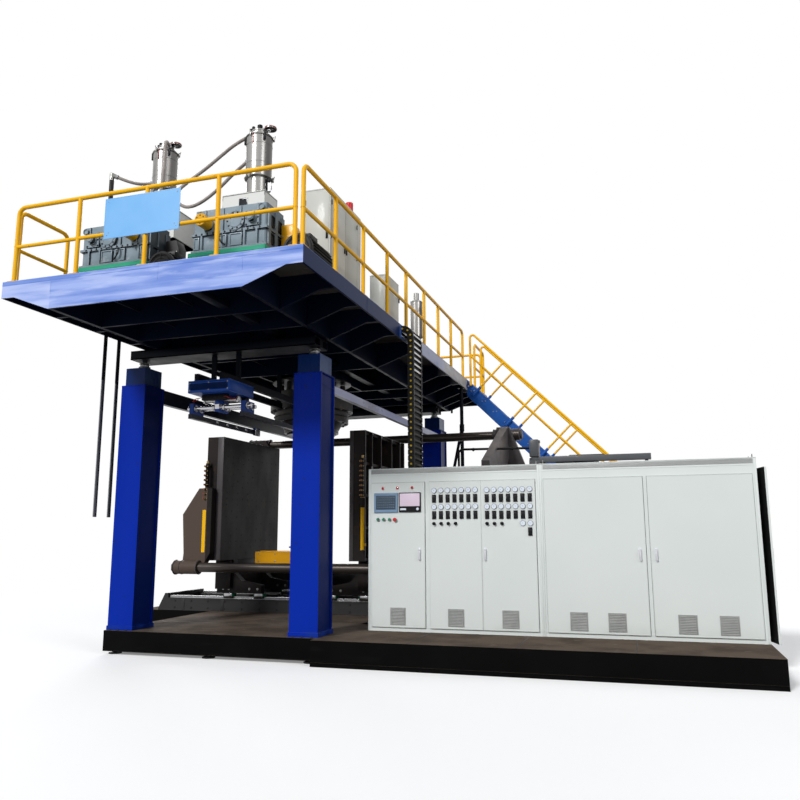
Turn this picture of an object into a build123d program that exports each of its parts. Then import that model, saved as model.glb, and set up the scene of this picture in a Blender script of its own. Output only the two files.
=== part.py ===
from build123d import *
import math
import os

# Blow moulding machine for large hollow products: a two-mould-half clamp on a machine
# base, a die head fed by two extruders on a raised platform, and a row of control cabinets.
# Millimetres. +X runs to the right along the fronts, +Y away from the front, +Z up.
# The origin is on the floor below the axis of the die head.

os.makedirs("parts", exist_ok=True)

running_gap = 0.3
seat_gap = 0.3

# Machine base and its levelling pads
pad_height = 39
pad_radius = 80
pad_plate = 14
pad_screw_radius = 25
deck_z = 290
deck_plate = 6
base_half_width = 1457
base_front = -2963
base_back = 3245
base_wall = 120
outrigger_left = -2750
outrigger_right = 3400

# Columns and the posts that telescope in them
column_width = 370
column_depth = 420
column_flange = 25
column_recess = 20
column_front = -2896
column_rear = 2749
column_top = 3449
collar_height = 50
collar_lip = 10
post_width = 300
post_depth = 360
post_bottom = 2600
post_top = 3687
neck_radius = 78
screw_radius = 34

# Clamp
bed_top = 485
bed_half_depth = 513
bed_beam = 140
bed_left = -2402
bed_right = 3400
rail_height = 35
rail_width = 45
rail_y = 470
block_top = 575
mould_face = 1053
platen_front = -935
platen_back = 937
platen_bottom = 1085
platen_top = 2974
left_plate = 100
right_plate = 60
rib_reach = 181
rib_plate = 30
rib_inset = 15
rib_lines = (-628, -229, 283, 707)
shelf_half = 20
shelf_lines = (1560, 2500)
foot_width = 120
foot_near = 560
foot_rise = ((560, 700), (900, 760))
foot_top = 900
block_near = 530
block_far = 1060
block_length = 150
block_seat = 8
valve_count = 8
valve_first = 2020
valve_pitch = 70
valve_radius = 20
valve_length = 40
manifold_setback = 230
manifold_half = 22
manifold_low = 1980
manifold_high = 2560
manifold_reach = 90
manifold_bracket = 30
bracket_height = 40
bracket_reach = 50
bracket_lines = (2010, 2490, 1300)
drop_pipe_radius = 28
drop_pipe_low = 1240
tie_y = 1097
tie_low_z = 988
tie_radius = 70
hub_radius = 100
tie_left = -1698
tie_right = 3235
yoke_hub_left = 2810
yoke_hub_right = 3150
axis_z = (platen_bottom + platen_top) / 2
yoke_face = 2950
yoke_plate = 120
barrel_radius = 180
barrel_bore = 140
barrel_length = 1450
piston_length = 100
rod_radius = 100

# Platform
platform_left = -1604
platform_right = 2111
platform_front = -4834
platform_rear = 4080
platform_top = 4290
platform_plate = 6
fascia_depth = 192
fascia_plate = 20
keel_z = 3920
keel_left = -956
keel_right = 1441
taper_left = -1433
taper_right = 1928
rib_width = 40
beam_height = 120
beam_depth = 390

# Handrails
rail_radius = 24
rail_top = 5182
rail_mid = 4710
rail_bend = 90
rail_front_y = -4783
rail_right_x = 2060
rail_left_x = -1553
rail_rear_y = 4040

# Stair
stair_front = 2164
stair_back = 3077
stair_pivot_z = 4150
stair_foot_z = 2
stair_pin_x = platform_right + 39
pin_clear = 15
stair_steps = 20
stringer_depth = 220
stringer_plate = 14
tread_plate = 30
tread_depth = 190
tread_inset = 10
stair_rail_height = 950

# Die head
head_bore = 300
head_shaft = 60
core_height = 340
head_bottom = 3060

# Extruders
extruder_x = 790
gearbox_left_x = 300
gearbox_right_x = 1275
gearbox_front = -4050
gearbox_depth = 500
gearbox_bottom = 4670
gearbox_top = 5205
slab_height = 50
barrel_z = 4965
barrel_tube_radius = 150
barrel_end_y = -520
motor_radius = 190
motor_z = 4560
hopper_bottom = 5210
hopper_top = 5610
loader_radius = 161
loader_neck_radius = 142

# Cabinets
skid_right = 6369
skid_front = -3102
skid_back = -1500
cabinet_left_x = 1789
cabinet_joint_x = 3968
cabinet_right_x = 6362
cabinet_front = -2103
cabinet_back = -1723
cabinet_top = 2290
cabinet_wall = 25
door_bottom = 340
door_top = 2110
door_depth = 20
door_skin = 3
door_face = cabinet_front - door_depth
vent_bottom = 370
vent_top = 575
handle_z = 1220
end_door_angle = 11

# Take-out unit
carriage_half_width = 297
carriage_front = -3090
carriage_back = -2480
carriage_bottom = 3243
carriage_top = 3398
arm_x = 375
arm_z = 2980
arm_half = 30
arm_front = -2900
arm_back = -1120
guide_rod_radius = 25
guide_rod_z = 3090

# Cable chain
chain_near = -1707
chain_width = 400
chain_plate = 30
chain_half = 45
chain_waist = 8
chain_pitch = 80
chain_joint = 6
chain_bend = 118
chain_x = 2236
chain_start_x = 2000
chain_z = platform_top - platform_plate - chain_half - 0.5
chain_low_z = 640
chain_low_bend = 150
chain_end_z = 1100
chain_window = 60

# Hoses
hose_radius = 22.5
hose_routes = {
    "hose_1": [
        (-1340, -3370, 6200), (-1245, -3322, 6160), (-1150, -3225, 6150), (-1075, -3150, 6165),
        (-1010, -3120, 6180),
    ],
    "hose_2": [
        (640, -3400, 6440), (450, -3385, 6388), (220, -3355, 6270), (-30, -3310, 6150),
        (-290, -3272, 6045), (-480, -3252, 5945), (-585, -3250, 5825), (-622, -3252, 5700),
    ],
    "hose_3": [
        (612, -3400, 6090), (430, -3383, 5985), (221, -3340, 5850), (20, -3300, 5752),
        (-160, -3262, 5697), (-330, -3222, 5695), (-470, -3180, 5760), (-570, -3150, 5850),
    ],
    "hose_4": [
        (-690, -3215, 6650), (-667, -3270, 6650), (-645, -3321, 6627), (-628, -3360, 6585),
        (-619, -3382, 6529), (-612, -3390, 6440), (-605, -3400, 6290), (-610, -3402, 6110),
        (-630, -3400, 5930), (-652, -3395, 5790), (-660, -3390, 5700),
    ],
}
stub_radius = 30
stub_length = 110


def block(x0, x1, y0, y1, z0, z1, mode=Mode.ADD):
    """Add a rectangular block between two limits on each axis."""
    with Locations(((x0 + x1) / 2, (y0 + y1) / 2, (z0 + z1) / 2)):
        Box(abs(x1 - x0), abs(y1 - y0), abs(z1 - z0), mode=mode)


def bar(start, end, radius, mode=Mode.ADD):
    """Add a round bar from one point to another."""
    run = Vector(*end) - Vector(*start)
    with BuildSketch(Plane(origin=start, z_dir=run), mode=Mode.PRIVATE) as section:
        Circle(radius)
    extrude(section.sketch, amount=run.length, mode=mode)


def hexagon_bar(start, end, radius, mode=Mode.ADD):
    """Add a six-sided head or nut from one point to another."""
    run = Vector(*end) - Vector(*start)
    with BuildSketch(Plane(origin=start, z_dir=run), mode=Mode.PRIVATE) as section:
        RegularPolygon(radius, 6)
    extrude(section.sketch, amount=run.length, mode=mode)


def plate(plane, outline, thickness, mode=Mode.ADD):
    """Add a plate whose straight-edged outline is drawn on a plane."""
    with BuildSketch(plane, mode=Mode.PRIVATE) as face:
        with BuildLine():
            Polyline(*outline, close=True)
        make_face()
    extrude(face.sketch, amount=thickness, mode=mode)


def facing_front(y):
    """The plane at depth y whose outlines are x, z and that extrudes towards the front."""
    return Plane(origin=(0, y, 0), x_dir=(1, 0, 0), z_dir=(0, -1, 0))


def facing_right(x):
    """The plane at x whose outlines are y, z and that extrudes to the right."""
    return Plane(origin=(x, 0, 0), x_dir=(0, 1, 0), z_dir=(1, 0, 0))


def turned(profile, plane=Plane.XZ, axis=Axis.Z, mode=Mode.ADD):
    """Add a turned body from a profile of radius and height points."""
    with BuildSketch(plane, mode=Mode.PRIVATE) as half:
        with BuildLine():
            Polyline(*profile, close=True)
        make_face()
    revolve(half.sketch, axis, mode=mode)


def save(part, name):
    part.label = name
    export_step(part, f"parts/{name}.step")


# Base frame: welded side beams and cross beams under one deck sheet
with BuildPart() as base_frame:
    with BuildSketch(Plane.XY.offset(pad_height)):
        with Locations((0, (base_front + base_back) / 2)):
            Rectangle(2 * base_half_width, base_back - base_front)
        with Locations(((outrigger_left + outrigger_right) / 2, 0)):
            Rectangle(outrigger_right - outrigger_left, 2 * bed_half_depth)
    extrude(amount=deck_z - pad_height)
    bay_depth = (base_back - base_front - 5 * base_wall) / 4
    for bay in range(4):
        bay_y = base_front + base_wall + bay * (bay_depth + base_wall)
        for side in (-1, 1):
            block(side * base_wall / 2, side * (base_half_width - base_wall), bay_y,
                  bay_y + bay_depth, pad_height, deck_z - deck_plate, mode=Mode.SUBTRACT)
save(base_frame.part, "base_frame")

pad_places = [(x, y) for x in (-1350, 0, 1350) for y in (-2850, 0, 3130)]
pad_places += [(x, y) for x in (outrigger_left + 150, outrigger_right - 150) for y in (-400, 400)]
with BuildPart() as levelling_pads:
    with Locations(*[(x, y, 0) for x, y in pad_places]):
        Cylinder(pad_radius, pad_plate, align=(Align.CENTER, Align.CENTER, Align.MIN))
        Cylinder(pad_screw_radius, pad_height, align=(Align.CENTER, Align.CENTER, Align.MIN))
save(levelling_pads.part, "levelling_pads")

# Columns: box sections with their side plates set in from the front and rear plates
column_x = base_half_width - column_width / 2
column_places = [
    (side * column_x, face + column_depth / 2)
    for side in (-1, 1)
    for face in (column_front, column_rear)
]
with BuildPart() as columns:
    for x, y in column_places:
        with BuildSketch(Plane(origin=(x, y, deck_z)), mode=Mode.PRIVATE) as section:
            Rectangle(column_width, column_depth)
            with Locations((-column_width / 2, 0), (column_width / 2, 0)):
                Rectangle(2 * column_recess, column_depth - 2 * column_flange, mode=Mode.SUBTRACT)
            Rectangle(post_width + 2 * running_gap, post_depth + 2 * running_gap,
                      mode=Mode.SUBTRACT)
        extrude(section.sketch, amount=column_top - deck_z)
        with BuildSketch(Plane(origin=(x, y, deck_z)), mode=Mode.PRIVATE) as collar:
            Rectangle(column_width + 2 * collar_lip, column_depth + 2 * collar_lip)
            Rectangle(post_width + 2 * running_gap, post_depth + 2 * running_gap,
                      mode=Mode.SUBTRACT)
        extrude(collar.sketch, amount=collar_height)
        with BuildSketch(Plane(origin=(x, y, column_top - collar_lip)), mode=Mode.PRIVATE) as cap:
            Rectangle(column_width, column_depth)
            Rectangle(post_width + 2 * running_gap, post_depth + 2 * running_gap,
                      mode=Mode.SUBTRACT)
        extrude(cap.sketch, amount=collar_lip)
save(columns.part, "columns")


def channel(x_open, x_web, z0, z1, web):
    """An outline in x, z of a channel whose web stands at x_web."""
    step = web if x_open > x_web else -web
    return [
        (x_web, z0), (x_open, z0), (x_open, z0 + web), (x_web + step, z0 + web),
        (x_web + step, z1 - web), (x_open, z1 - web), (x_open, z1), (x_web, z1),
    ]


# Side braces between the front and rear columns, as rolled channels
brace_length = column_rear - (column_front + column_depth)
with BuildPart() as column_braces:
    plate(facing_front(column_rear), channel(base_half_width - 65, base_half_width, 3234, 3337, 10),
          brace_length)
    plate(facing_front(column_rear), channel(-base_half_width + 297, -base_half_width + 370,
                                             3244, 3437, 12), brace_length)
save(column_braces.part, "column_braces")

# Clamp bed: two long beams, cross members between them and a sloped stop at the left end
cross_x = [-2000, -1300, -700, 700, 1300, 2000, 2700, bed_right - 100]
with BuildPart() as clamp_bed:
    for side in (-1, 1):
        outer = side * bed_half_depth
        inner = side * (bed_half_depth - bed_beam)
        block(-2225, bed_right, min(outer, inner), max(outer, inner), deck_z, bed_top)
    inner_half = bed_half_depth - bed_beam - seat_gap
    for x in cross_x:
        block(x, x + 100, -inner_half, inner_half, deck_z, bed_top - 60)
    plate(facing_front(bed_half_depth),
          [(bed_left, deck_z), (bed_left, 325), (-2285, 553), (-2225.3, 553), (-2225.3, deck_z)],
          2 * bed_half_depth)
save(clamp_bed.part, "clamp_bed")

with BuildPart() as guide_rails:
    for side in (-1, 1):
        with BuildSketch(facing_right(-2200), mode=Mode.PRIVATE) as section:
            with Locations((side * rail_y, bed_top + rail_height / 2)):
                Rectangle(rail_width, rail_height)
                with Locations((-rail_width / 2, 2), (rail_width / 2, 2)):
                    RegularPolygon(7, 4, rotation=0, mode=Mode.SUBTRACT)
        extrude(section.sketch, amount=5500)
save(guide_rails.part, "guide_rails")

# Skid that carries the control cabinets
with BuildPart() as control_skid:
    block(base_half_width, skid_right, skid_front, skid_back, 0, deck_z)
    for bay in range(4):
        bay_width = (skid_right - base_half_width - 5 * 100) / 4
        bay_x = base_half_width + 100 + bay * (bay_width + 100)
        block(bay_x, bay_x + bay_width, skid_front + 100, skid_back - 100, 0,
              deck_z - deck_plate, mode=Mode.SUBTRACT)
save(control_skid.part, "control_skid")


def cabinet(left, right, stiles):
    """Panels and door posts of one cabinet, with a seam between each."""
    block(left, right, cabinet_front, cabinet_back, deck_z, door_bottom)
    block(left, right, cabinet_front, cabinet_back, door_top, cabinet_top)
    low = door_bottom + seat_gap
    high = door_top - seat_gap
    for x in (left, right - cabinet_wall):
        block(x, x + cabinet_wall, cabinet_front, cabinet_back, low, high)
    block(left + cabinet_wall + seat_gap, right - cabinet_wall - seat_gap,
          cabinet_back - cabinet_wall, cabinet_back, low, high)
    for x0, x1 in stiles:
        block(x0, x1, cabinet_front, cabinet_front + 40, low, high)


with BuildPart() as cabinet_left:
    cabinet(cabinet_left_x, cabinet_joint_x, [
        (1814.3, 1852), (2521, 2610), (3236, 3266), (3897, 3942.7),
    ])
save(cabinet_left.part, "cabinet_left")

with BuildPart() as cabinet_right:
    cabinet(cabinet_joint_x, cabinet_right_x, [
        (3993.3, 4029), (5131, 5209), (6296, 6336.7),
    ])
save(cabinet_right.part, "cabinet_right")

# Doors: folded sheets with a returned edge, louvred vents and a hole for the handle spindle
door_table = [
    ("door_1", 1837, 2536, 2468, [(2087, 2282)]),
    ("door_2", 2595, 3250, None, [(2823, 3018)]),
    ("door_3", 3252, 3912, 3295, [(3486, 3678)]),
    ("door_4", 4014, 5146, 5082, [(4270, 4469), (4699, 4889)]),
    ("door_5", 5194, 6311, 5257, [(5447, 5639), (5872, 6068)]),
]
spindle_radius = 12
for name, left, right, handle_x, vents in door_table:
    with BuildPart() as door:
        block(left, right, door_face, cabinet_front - seat_gap, door_bottom, door_top)
        block(left + 12, right - 12, door_face + door_skin, cabinet_front - seat_gap,
              door_bottom + 12, door_top - 12, mode=Mode.SUBTRACT)
        for vent_left, vent_right in vents:
            slot_pitch = (vent_top - vent_bottom) / 7
            for slot in range(7):
                z = vent_bottom + (slot + 0.5) * slot_pitch
                block(vent_left + 10, vent_right - 10, door_face - 1, door_face + door_skin + 1,
                      z - 5, z + 5, mode=Mode.SUBTRACT)
        if handle_x is not None:
            bar((handle_x, door_face - 1, handle_z + 50),
                (handle_x, door_face + door_skin + 1, handle_z + 50),
                spindle_radius + running_gap, mode=Mode.SUBTRACT)
    save(door.part, name)

handle_table = [("handle_1", 2468), ("handle_3", 3295), ("handle_4", 5082), ("handle_5", 5257)]
for name, x in handle_table:
    with BuildPart() as handle:
        with BuildSketch(facing_front(door_face - 2), mode=Mode.PRIVATE) as lever:
            with Locations((x, handle_z)):
                SlotOverall(140, 26, rotation=90)
        extrude(lever.sketch, amount=16)
        bar((x, door_face - 2, handle_z + 50), (x, door_face + 14, handle_z + 50), spindle_radius)
    save(handle.part, name)

# End door, standing ajar on its hinge at the rear right edge of the row
end_hinge = (cabinet_right_x + 22 + seat_gap, cabinet_back)
with BuildPart() as end_door:
    block(end_hinge[0] - 22, end_hinge[0], cabinet_back - 398, cabinet_back, deck_z + 3,
          cabinet_top - 105)
    block(end_hinge[0] - 23, end_hinge[0] - 3, cabinet_back - 386, cabinet_back - 12,
          deck_z + 15, cabinet_top - 117, mode=Mode.SUBTRACT)
end_door_part = end_door.part.rotate(Axis(origin=(*end_hinge, 0), direction=(0, 0, 1)),
                                     end_door_angle)
save(end_door_part, "end_door")


def panel_box(x0, x1, z0, z1, depth):
    """A rectangular instrument standing out from the door face."""
    block(x0, x1, door_face - depth, door_face, z0, z1)


def panel_dial(x, z, radius, depth):
    """A round instrument or lamp standing out from the door face."""
    bar((x, door_face, z), (x, door_face - depth, z), radius)


def bezel(x, z):
    """The fixed ring that a button slides in."""
    with BuildSketch(facing_front(door_face), mode=Mode.PRIVATE) as ring:
        with Locations((x, z)):
            Circle(button_radius + 5)
            Circle(button_radius + running_gap, mode=Mode.SUBTRACT)
    extrude(ring.sketch, amount=14)


button_radius = 15
button_travel = 5
button_places = [("green_button_1", 1924, 1650), ("green_button_2", 2000, 1650),
                 ("green_button_3", 2078, 1650)]
stop_place = (2151, 1648)
with BuildPart() as instruments_1:
    panel_box(1875, 2185, 1738, 1980, 12)
    panel_box(1905, 2120, 1775, 1945, 14)
    panel_box(2207, 2487, 1742, 1980, 14)
    for x in (1988, 2184, 2377):
        panel_dial(x, 2042, 14, 18)
    for _, x, z in button_places:
        bezel(x, z)
    bezel(*stop_place)
save(instruments_1.part, "instruments_1")

gauge_radius = 33
controller_width = 48
for name, first_x, top_z, dials_low in (("instruments_2", 2661, 2000, None),
                                        ("instruments_3", 3327, 1995, (3759, 3847))):
    with BuildPart() as instruments:
        pitch = 87
        for column in range(7):
            x = first_x + column * pitch
            panel_dial(x, top_z, gauge_radius, 10)
            panel_dial(x, top_z - 202, gauge_radius, 10)
            for low in (top_z - 148, top_z - 350):
                panel_box(x - controller_width / 2, x + controller_width / 2, low, low + 96, 8)
        for knob in range(4 if dials_low is None else 3):
            panel_dial(first_x - 2 + knob * 91, top_z - 406, 20, 24)
        if dials_low is not None:
            for x in dials_low:
                panel_dial(x, top_z - 405, gauge_radius, 10)
            panel_box(3819, 3867, 1448, 1535, 8)
    save(instruments.part, name)

for name, x, z in button_places:
    with BuildPart() as button:
        bar((x, door_face - button_travel - 1, z), (x, door_face - 18 - button_travel, z),
            button_radius)
    save(button.part, name)
with BuildPart() as stop_button:
    x, z = stop_place
    bar((x, door_face - button_travel - 1, z), (x, door_face - 20, z), button_radius)
    bar((x, door_face - 20, z), (x, door_face - 34, z), button_radius + 7)
save(stop_button.part, "stop_button")

# Hydraulic power unit behind the cabinets: tank, pump motor and pump
tank = (3900, 5240, -1380, -620, 120, 2060)
bed_front_duct = -480
with BuildPart() as hydraulic_unit:
    x0, x1, y0, y1, z0, z1 = tank
    block(x0, x1, y0, y1, z0, z1)
    block(x0 - 30, x1 + 30, y0 - 30, y1 + 30, z1, z1 + 30)
    for x in (x0 + 80, x1 - 80):
        block(x - 60, x + 60, y0, y1, 0, z0)
    block(x0 + 100, x0 + 500, y0 + 150, y1 - 150, z1 + 30, z1 + 110)
    bar((x0 + 160, -1000, z1 + 260), (x0 + 700, -1000, z1 + 260), 140)
    block(x0 + 200, x0 + 460, -1090, -910, z1 + 100, z1 + 200)
    block(x1 - 380, x1 - 120, -1150, -850, z1 + 30, z1 + 190)
    duct_right = x0 + 150
    block(x0 + 50, duct_right, y1, bed_front_duct, z0, z0 + 100)
    block(outrigger_right + seat_gap, duct_right, bed_front_duct, bed_front_duct + 100, z0, z0 + 100)
save(hydraulic_unit.part, "hydraulic_unit")

# Blowing station between the mould halves, with its yellow front cover on two arms
pin_x = 150
pin_radius = 25
pin_top = 1300
with BuildPart() as blow_unit:
    block(-250, 250, -300, 300, deck_z, 330)
    block(-150, 150, -200, 200, 330, 900)
    block(-280, 280, -240, 240, 900, 1040)
    for side in (-1, 1):
        block(side * 190, side * 250, -780, -240, 980, 1040)
    block(-450, 450, -800, -780, 960, 1230)
    plate(facing_front(-800), [(-450, 1050), (450, 1050), (450, 1214), (-450, 1214)], 135)
    for side in (-1, 1):
        bar((side * pin_x, 0, 800), (side * pin_x, 0, 1040 + 40), 60)
        bar((side * pin_x, 0, 640), (side * pin_x, 0, 1080), pin_radius + running_gap,
            mode=Mode.SUBTRACT)
save(blow_unit.part, "blow_unit")

with BuildPart() as blow_pins:
    for side in (-1, 1):
        bar((side * pin_x, 0, 660), (side * pin_x, 0, pin_top - 40), pin_radius)
        bar((side * pin_x, 0, pin_top - 40), (side * pin_x, 0, pin_top), pin_radius - 8)
save(blow_pins.part, "blow_pins")


def platen(side, thickness):
    """The upright plate of one mould half with its ribs, foot beams and slide blocks."""
    face = side * mould_face
    back = side * (mould_face + thickness)
    heel = side * (mould_face + thickness + rib_reach)
    half = foot_width / 2
    block(face, back, platen_front, platen_back, platen_bottom, platen_top)
    for y in (platen_front + rib_inset, *rib_lines, platen_back - rib_inset):
        block(back, heel, y - rib_plate / 2, y + rib_plate / 2, platen_bottom, platen_top)
    for z in (platen_bottom + shelf_half, axis_z, *shelf_lines, platen_top - shelf_half):
        block(back, heel - side * 2 * shelf_half, platen_front, platen_back, z - shelf_half,
              z + shelf_half)
    rail_side = rail_width / 2 + seat_gap
    carriage_low = bed_top + rail_height + seat_gap
    for y in (-rail_y, rail_y):
        rise = [(side * x, z) for x, z in foot_rise]
        plate(facing_front(y + half), [
            (side * foot_near, block_top), *rise, (face, foot_top), (face, platen_bottom),
            (heel, platen_bottom), (heel, block_top),
        ], foot_width)
        for x in (side * block_near, side * block_far):
            end = x + side * block_length
            block(x, end, y - half, y + half, carriage_low, block_top)
            block(x, end, y - half, y - rail_side, bed_top + block_seat, carriage_low)
            block(x, end, y + rail_side, y + half, bed_top + block_seat, carriage_low)


def manifold(side):
    """Cooling water manifold with eight valves on the front edge, above its drop pipe."""
    x = side * (mould_face + manifold_setback)
    valve_face = platen_front - manifold_reach
    pipe_y = (valve_face + platen_front - bracket_reach) / 2
    block(x - manifold_half, x + manifold_half, valve_face, platen_front - bracket_reach,
          manifold_low, manifold_high)
    for z in bracket_lines:
        block(x - manifold_bracket, x + manifold_bracket, platen_front - bracket_reach,
              platen_front, z, z + bracket_height)
    for valve in range(valve_count):
        z = valve_first + valve * valve_pitch
        hexagon_bar((x, valve_face, z), (x, valve_face - valve_length, z), valve_radius)
    bar((x, pipe_y, drop_pipe_low), (x, pipe_y, manifold_low), drop_pipe_radius)


with BuildPart() as left_platen:
    platen(-1, left_plate)
    manifold(-1)
    for turn in (1, -1):
        gusset = [(-1160, 2175), (-1384, 2175), (-1657, 1780), (-1617, 1196), (-1640, 960),
                  (-1340, 920), (-1160, 1200)]
        outline = [(x, axis_z + turn * (z - axis_z)) for x, z in gusset]
        near = -turn * tie_y
        if turn == 1:
            plate(facing_front(platen_front), outline, 120)
        else:
            plate(facing_front(platen_back + 120), outline, 120)
        centre_z = axis_z + turn * (tie_low_z - axis_z)
        bar((tie_left, near, centre_z), (-1309, near, centre_z), hub_radius)
        bar((tie_left - 1, near, centre_z), (-1100, near, centre_z), tie_radius + running_gap,
            mode=Mode.SUBTRACT)
save(left_platen.part, "left_platen")

with BuildPart() as right_platen:
    platen(1, right_plate)
    manifold(1)
    rod_seat = mould_face + right_plate + rib_reach + 20
    block(mould_face + right_plate, rod_seat, -260, 260, axis_z - 260, axis_z + 260)
save(right_platen.part, "right_platen")

# Yoke: one thick S-shaped plate that ties the two tie bars to the clamp cylinder
yoke_outline = [
    (-1210, 868), (-960, 868), (620, 1560), (620, 2380), (1210, 2860),
    (1210, 3192), (960, 3192), (-620, 2500), (-620, 1680), (-1210, 1200),
]
yoke_left = yoke_face - 250
yoke_right = yoke_face + yoke_plate + 255
with BuildPart() as yoke:
    plate(facing_right(yoke_face), yoke_outline, yoke_plate)
    for turn in (1, -1):
        near = -turn * tie_y
        cheek = [(yoke_left, 1500), (yoke_right, 1500), (3090, 868), (2880, 868)]
        outline = [(x, axis_z + turn * (z - axis_z)) for x, z in cheek]
        y0 = near + yoke_plate / 2
        plate(facing_front(y0 + turn * 60), outline, yoke_plate)
    for y in (-560, 440):
        plate(facing_front(y + 120), [
            (yoke_left, block_top), (yoke_right, block_top), (yoke_right, 760), (3140, 1500),
            (3140, 1800), (2880, 1800), (2880, 1500), (yoke_left, 760),
        ], 120)
    for y in (-rail_y, rail_y):
        for x in (yoke_left + 40, yoke_right - 190):
            block(x, x + 150, y - 60, y + 60, bed_top + rail_height + seat_gap, block_top)
    for turn in (1, -1):
        near = -turn * tie_y
        centre_z = axis_z + turn * (tie_low_z - axis_z)
        bar((yoke_hub_left, near, centre_z), (yoke_hub_right, near, centre_z), hub_radius)
        bar((yoke_left, near, centre_z), (yoke_right, near, centre_z), tie_radius + running_gap,
            mode=Mode.SUBTRACT)
        bar((yoke_hub_right, near, centre_z), (yoke_right, near, centre_z), hub_radius + 5,
            mode=Mode.SUBTRACT)
    bar((yoke_face - 10, 0, axis_z), (yoke_face + yoke_plate + 10, 0, axis_z),
        rod_radius + running_gap, mode=Mode.SUBTRACT)
save(yoke.part, "yoke")

with BuildPart() as tie_bars:
    for turn in (1, -1):
        near = -turn * tie_y
        centre_z = axis_z + turn * (tie_low_z - axis_z)
        bar((tie_left, near, centre_z), (tie_right, near, centre_z), tie_radius)
        bar((yoke_hub_right + seat_gap, near, centre_z), (tie_right, near, centre_z), hub_radius)
save(tie_bars.part, "tie_bars")

# Clamp cylinder with its prefill valve on top
barrel_start = yoke_face + yoke_plate
barrel_stop = barrel_start + barrel_length
with BuildPart() as clamp_cylinder:
    bar((barrel_start, 0, axis_z), (barrel_stop, 0, axis_z), barrel_radius)
    for x in (barrel_start, barrel_stop - 60):
        block(x, x + 60, -210, 210, axis_z - 210, axis_z + 210)
    block(3560, 3720, -110, 110, axis_z + 150, axis_z + 500)
    bar((3640, 0, axis_z + 500), (3640, 0, axis_z + 790), 55)
    bar((barrel_start + 60, 0, axis_z), (barrel_stop - 60, 0, axis_z), barrel_bore,
        mode=Mode.SUBTRACT)
    bar((barrel_start - 1, 0, axis_z), (barrel_start + 61, 0, axis_z), rod_radius + running_gap,
        mode=Mode.SUBTRACT)
save(clamp_cylinder.part, "clamp_cylinder")

piston_x = barrel_stop - 60 - 60 - piston_length
with BuildPart() as piston_rod:
    bar((rod_seat, 0, axis_z), (piston_x, 0, axis_z), rod_radius)
    bar((piston_x, 0, axis_z), (piston_x + piston_length, 0, axis_z), barrel_bore - running_gap)
    bar((rod_seat, 0, axis_z), (rod_seat + 50, 0, axis_z), rod_radius + 60)
save(piston_rod.part, "piston_rod")

# Platform frame: fascias, two keel beams and tapered ribs, welded into one
rib_outline = [
    (platform_left + fascia_plate, platform_top - platform_plate),
    (platform_right - fascia_plate, platform_top - platform_plate),
    (platform_right - fascia_plate, platform_top - fascia_depth),
    (taper_right, platform_top - fascia_depth),
    (keel_right, keel_z),
    (keel_left, keel_z),
    (taper_left, platform_top - fascia_depth),
    (platform_left + fascia_plate, platform_top - fascia_depth),
]
fascia_outline = [
    (platform_left, platform_top - platform_plate),
    (platform_right, platform_top - platform_plate),
    (platform_right, platform_top - fascia_depth),
    (taper_right, platform_top - fascia_depth),
    (keel_right, keel_z),
    (keel_left, keel_z),
    (taper_left, platform_top - fascia_depth),
    (platform_left, platform_top - fascia_depth),
]
rib_places = [-4000, -3300, -2600, -1900, -830, 870, 1700, 2500, 3000, 3500]
with BuildPart() as platform_frame:
    plate(facing_front(platform_front + fascia_plate), fascia_outline, fascia_plate)
    frame_top = platform_top - platform_plate
    frame_low = platform_top - fascia_depth
    block(platform_left, platform_right, platform_rear - fascia_plate, platform_rear, frame_low,
          frame_top)
    for x in (platform_left, platform_right - fascia_plate):
        block(x, x + fascia_plate, platform_front + fascia_plate, platform_rear, frame_low,
              frame_top)
    for x in (keel_left, keel_right - 50):
        block(x, x + 50, platform_front + fascia_plate, 3520, keel_z, frame_top)
        block(x, x + 50, 3520, platform_rear - fascia_plate, frame_low, frame_top)
    for y in rib_places:
        plate(facing_front(y + rib_width / 2), rib_outline, rib_width)
    for x in (-560, 520):
        block(x, x + 40, -830, 870, keel_z, frame_top)
    for y in (-3083, -2815):
        block(platform_left - 12 - seat_gap, platform_left - seat_gap, y - 30, y + 30, 1705,
              frame_low + 60)
    block(chain_start_x - 10, platform_right + 1, chain_near - 10, chain_near + chain_width + 10,
          chain_z - chain_half - chain_window, frame_top + 1, mode=Mode.SUBTRACT)
    for y in (stair_front + stringer_plate + seat_gap, stair_back - stringer_plate - seat_gap - 12):
        block(platform_right, stair_pin_x + 30, y, y + 12, stair_pivot_z - 38, stair_pivot_z + 38)
        bar((stair_pin_x, y - 14, stair_pivot_z), (stair_pin_x, y + 26, stair_pivot_z), pin_clear)
save(platform_frame.part, "platform_frame")

with BuildPart() as platform_deck:
    block(platform_left, platform_right, platform_front, platform_rear, platform_top - platform_plate,
          platform_top)
    bar((0, 0, platform_top - 20), (0, 0, platform_top + 20), 400, mode=Mode.SUBTRACT)
save(platform_deck.part, "platform_deck")

# Cross beams that join each pair of lifting posts, as wide rolled sections
beam_centres = [column_front + column_depth / 2, column_rear + column_depth / 2]
with BuildPart() as cross_beams:
    for y in beam_centres:
        half = beam_depth / 2
        z0 = keel_z - beam_height
        outline = [
            (y - half, z0), (y + half, z0), (y + half, keel_z), (y - half, keel_z),
        ]
        plate(facing_right(-base_half_width + 100), outline, 2 * base_half_width - 200)
        for side in (-1, 1):
            cut = [
                (y + side * half, z0 + 15), (y + side * 40, z0 + 15),
                (y + side * 40, keel_z - 15), (y + side * half, keel_z - 15),
            ]
            plate(facing_right(-base_half_width + 90), cut, 2 * base_half_width - 180,
                  mode=Mode.SUBTRACT)
save(cross_beams.part, "cross_beams")

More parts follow.
